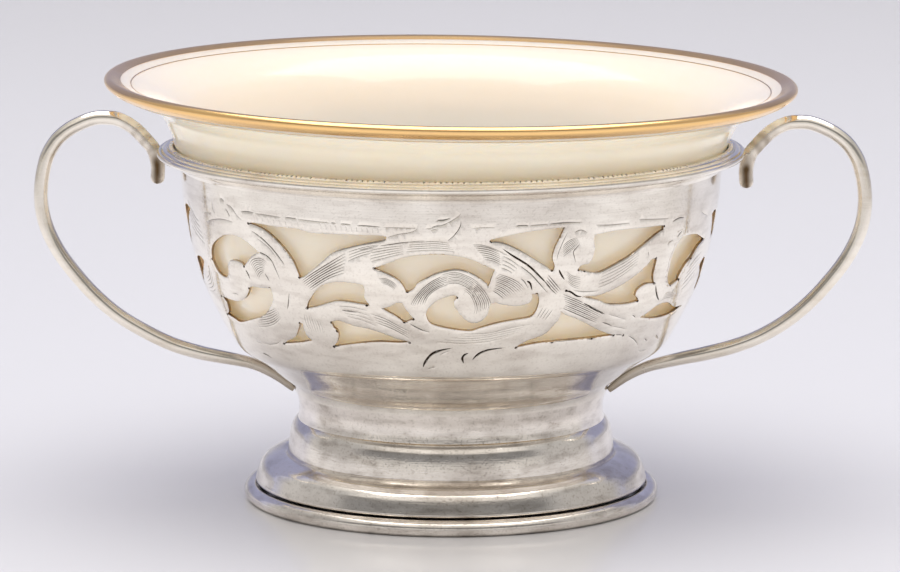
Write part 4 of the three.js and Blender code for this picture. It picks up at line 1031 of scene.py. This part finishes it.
bowl_points, bowl_faces, bowl_kinds, bowl_stain, bottoms = bowl()
base_ring, floor_ring = (in_order(bowl_points, at) for at in bottoms)
count = len(bowl_points)
discs = np.concatenate([fan(base_ring[::-1], count), fan(floor_ring, count + 1)])
centres = [(0, 0, bowl_points[ring[0], 2]) for ring in (base_ring, floor_ring)]
bowl_points = np.vstack([bowl_points, centres])
bowl_stain = np.append(bowl_stain, np.zeros(len(centres)))
bowl_kinds = np.append(bowl_kinds, np.full(len(discs), INSIDE))
bowl_faces = np.concatenate([bowl_faces, discs])
bowl_piece, kept_points = piece(
    "pierced_sheet", bowl_points * MM, bowl_faces, "holder", silver, "polished_silver", 35,
)
bowl_mesh = bowl_piece.data
bowl_mesh.materials.append(amber_silver)
bowl_mesh.materials.append(sawn_silver)
print("faces kept:", len(bowl_mesh.polygons), "of", len(bowl_faces))
bowl_mesh.polygons.foreach_set("material_index", bowl_kinds.astype(np.int32))
stained(bowl_piece, bowl_stain[kept_points])
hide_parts("pierced_bowl")

# %% [markdown]
# The liner is thrown and turned china, glazed all over, and its lip flares out over the silver.
# It is loose, and sits a little askew, so its points are leaned about a spot on the axis, as the
# solid model has it. The gilding is a thin band fired over the lip, and a fine line each side of
# it, each a piece of its own here.

# %% Liner
LINER_BELOW = [
    (38.75, 47.9), (38.95, 49.6), (39.5, 50.8), (40.25, 51.7), (40.6, 52.4), (40.74, 53.1), (40.98, 53.95),
    (41.6, 55.3), (42.6, 57.2), (44, 58.2), (45.5, 58.95), (47, 59.6), (48.5, 60.1),
]
LINER_EDGE = [
    (48.6, 60.12), (49.9, 60.75), (50.5, 61.2), (50.83, 61.6), (50.8, 62.1), (50.3, 62.45), (49.6, 62.4),
    (48.6, 62.0),
]
LINER_ABOVE = [
    (48.6, 62), (47, 61.4), (45, 60.7), (43, 59.7), (41, 58.2), (39.6, 56.3), (38.7, 54.2), (38, 52),
    (37.3, 49), (36.8, 45), (36, 41), (35, 37), (33.5, 33), (31.6, 29.5), (28.6, 26), (24.5, 23.8),
    (19, 22.7), (10, 22.25), (0, 22.2),
]
LINER_UNDER = [
    (0, 20.1), (12.4, 20.1), (13.4, 19.3), (14.6, 19.05), (15.8, 19.2), (16.2, 20), (19.5, 20.2),
    (24, 21.2), (28.4, 22.9), (31.3, 25.8), (33.4, 29.4), (35.3, 33.4), (36.75, 37.4), (37.75, 41.4),
    (38.4, 44.8), (38.75, 47.9),
]
LEAN_CENTRE = 61.0
LEAN_SIDE, LEAN_FRONT = np.radians(0.9), np.radians(1.0)


def leaned(points):
    """Points turned about the lean's centre: first about Y, towards +X, then about X, to the front."""
    cs, ss, cf, sf = np.cos(LEAN_SIDE), np.sin(LEAN_SIDE), np.cos(LEAN_FRONT), np.sin(LEAN_FRONT)
    about_y = np.array([[cs, 0, ss], [0, 1, 0], [-ss, 0, cs]])
    about_x = np.array([[1, 0, 0], [0, cf, -sf], [0, sf, cf]])
    centre = np.array([0, 0, LEAN_CENTRE]) * MM
    return (points - centre) @ (about_x @ about_y).T + centre


def liner_piece(name, profile, facets, material, slot):
    """A turned piece that leans and lifts with the liner."""
    points, faces = turned(profile, facets)
    return piece(name, leaned(points), faces, "liner", material, slot, 50)[0]


def of_faces(mesh, what):
    """A vector of each face, as rows of one array."""
    values = np.zeros(3 * len(mesh.polygons))
    mesh.polygons.foreach_get(what, values)
    return values.reshape(-1, 3)


LINER_FACETS = 220
MOST_OUTWARDS, LEAST_UPWARDS = 0.3, 0.05
liner_profile = cornered((LINER_UNDER, LINER_BELOW, LINER_EDGE, LINER_ABOVE), 8)
liner = liner_piece("ivory_liner", liner_profile, LINER_FACETS, china, "ivory_china")
liner.data.materials.append(china_inside_painted_glow)
# Faces that look inwards and upwards take the darker glaze with the painted glow.
facing, middle = of_faces(liner.data, "normal"), of_faces(liner.data, "center")
outwards = (facing[:, :2] * middle[:, :2]).sum(1) / np.maximum(np.hypot(*middle[:, :2].T), 1e-9)
painted_glow_faces = (outwards < MOST_OUTWARDS) & (facing[:, 2] > LEAST_UPWARDS)
liner.data.polygons.foreach_set("material_index", painted_glow_faces.astype(np.int32))
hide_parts("liner")
print("faces inside the liner:", painted_glow_faces.sum())

# %% Gilding
GILT_THICKNESS = 0.035
GILT_LIP = [(49.75, 60.66), *LINER_EDGE[2:7], (48.5, 61.96)]
GILT_HAIRLINE = [(47.08, 61.43), (46.9, 61.36)]
GILT_UNDERLINE = [(48.25, 60.03), (48.6, 60.13)]


def gilding(name, part):
    """A thin skin over part of the lip, as far under its surface as it stands out."""
    line = curve(part, 8)
    outward = right_of(directions(line)) * GILT_THICKNESS
    skin = np.vstack([line + outward, (line - outward)[::-1]])
    liner_piece(name, skin, TURNED_FACETS, gold, "fired_gold")


gilding("lip_gilding", GILT_LIP)
gilding("hairline_gilding", GILT_HAIRLINE)
gilding("underline_gilding", GILT_UNDERLINE)

# %% [markdown]
# The set is a photographer's table: a pale, slightly glossy sweep that rises behind the cup, a
# bright room all round, and one large soft light overhead. Polished silver shows only what
# surrounds it, so the room matters more than the lamp.

# %% Stage and light
SWEEP_FRONT, SWEEP_BACK, SWEEP_BEND, SWEEP_TOP, SWEEP_SIDE = -1.2, 1.4, 0.6, 2.2, 2.5
SWEEP_LOW, SWEEP_HIGH = (0.778, 0.77, 0.785, 1), (0.53, 0.565, 0.82, 1)
SWEEP_ROUGHNESS, SWEEP_GLOSS, SWEEP_CLIMB = 0.16, 0.25, (0.02, 0.4)
BEND_POINTS = 24
LAMP_PLACE, LAMP_SIZE, LAMP_POWER = Vector((0, 0, 1.1)), (1.4, 1.2), 11.4


def sweep_paint():
    """Pale grey on the floor, turning blue as the backdrop climbs."""
    material = bpy.data.materials.new("pale_sweep")
    material.use_nodes = True
    tree = material.node_tree
    shader = tree.nodes["Principled BSDF"].inputs
    split = tree.nodes.new("ShaderNodeSeparateXYZ")
    put(tree, tree.nodes.new("ShaderNodeTexCoord").outputs["Object"], split.inputs[0])
    climb = spread(tree, split.outputs[2], SWEEP_CLIMB)
    put(tree, mixed(tree, "RGBA", climb, SWEEP_LOW, SWEEP_HIGH), shader["Base Color"])
    shader["Roughness"].default_value = SWEEP_ROUGHNESS
    shader["Specular IOR Level"].default_value = SWEEP_GLOSS
    return material


def stage():
    """A floor that curves up into a backdrop: a profile of (depth, height) carried sideways."""
    turn = np.linspace(0, np.pi / 2, BEND_POINTS)
    depth = np.concatenate([[SWEEP_FRONT], SWEEP_BACK + SWEEP_BEND * np.sin(turn), [SWEEP_BACK + SWEEP_BEND]])
    height = np.concatenate([[0], SWEEP_BEND * (1 - np.cos(turn)), [SWEEP_TOP]])
    x, y = np.meshgrid([-SWEEP_SIDE, SWEEP_SIDE], depth)
    points = np.stack([x, y, np.broadcast_to(height[:, None], x.shape)], -1).reshape(-1, 3)
    mesh = smooth_mesh("sweep", points, grid_faces(len(depth), 2).tolist())
    mesh.materials.append(sweep_paint())
    sweep = placed("sweep", mesh)


stage()
light = bpy.data.lights.new("top_box", "AREA")
light.shape = "RECTANGLE"
light.size, light.size_y = LAMP_SIZE
light.energy = LAMP_POWER
lamp = placed("top_box", light)
lamp.location = LAMP_PLACE
lamp.rotation_euler = aimed(-LAMP_PLACE)

# %% The room's light
FRONT_BY_HEIGHT = [
    (0.0, (0.72, 0.70, 0.68)), (0.09, (0.66, 0.64, 0.62)), (0.16, (0.26, 0.26, 0.265)),
    (0.42, (0.24, 0.235, 0.23)), (0.58, (0.88, 0.845, 0.80)), (1.0, (0.90, 0.86, 0.82)),
]
SIDE_BY_HEIGHT = [
    (0.0, (0.54, 0.525, 0.52)), (0.6, (0.52, 0.515, 0.51)),
    (0.85, (0.88, 0.845, 0.80)), (1.0, (0.88, 0.845, 0.80)),
]
BACK_BY_HEIGHT = [(0.0, (0.42, 0.45, 0.68)), (1.0, (0.60, 0.61, 0.76))]
FRONT_TO_SIDE, SIDE_TO_BACK = (-0.5, -0.25), (0.4, 0.66)


def tent():
    """The room's light by direction, where the direction's height is the sine of its climb: a dark
    stretch in front at eye level and light above it, plain light at the sides, lavender behind."""
    room = bpy.data.worlds.new("tent")
    room.use_nodes = True
    tree = room.node_tree
    split = tree.nodes.new("ShaderNodeSeparateXYZ")
    put(tree, tree.nodes.new("ShaderNodeTexCoord").outputs["Generated"], split.inputs[0])

    def by_height(stops):
        """A colour for the direction's height, blended through stops of (height, colour)."""
        ramp = tree.nodes.new("ShaderNodeValToRGB")
        elements = ramp.color_ramp.elements
        elements.remove(elements[1])
        elements[0].position, elements[0].color = stops[0][0], (*stops[0][1], 1)
        for position, colour in stops[1:]:
            elements.new(position).color = (*colour, 1)
        put(tree, split.outputs[2], ramp.inputs[0])
        return ramp.outputs[0]

    front_to_side = spread(tree, split.outputs[1], FRONT_TO_SIDE)
    side_to_back = spread(tree, split.outputs[1], SIDE_TO_BACK)
    front, sides, behind = (by_height(stops) for stops in (FRONT_BY_HEIGHT, SIDE_BY_HEIGHT, BACK_BY_HEIGHT))
    front_and_sides = mixed(tree, "RGBA", front_to_side, front, sides)
    everywhere = mixed(tree, "RGBA", side_to_back, front_and_sides, behind)
    put(tree, everywhere, tree.nodes["Background"].inputs["Color"])
    bpy.context.scene.world = room


tent()
bpy.context.scene.view_settings.view_transform = "Standard"
print("room:", bpy.context.scene.world.name, "with", len(bpy.context.scene.world.node_tree.nodes), "nodes")
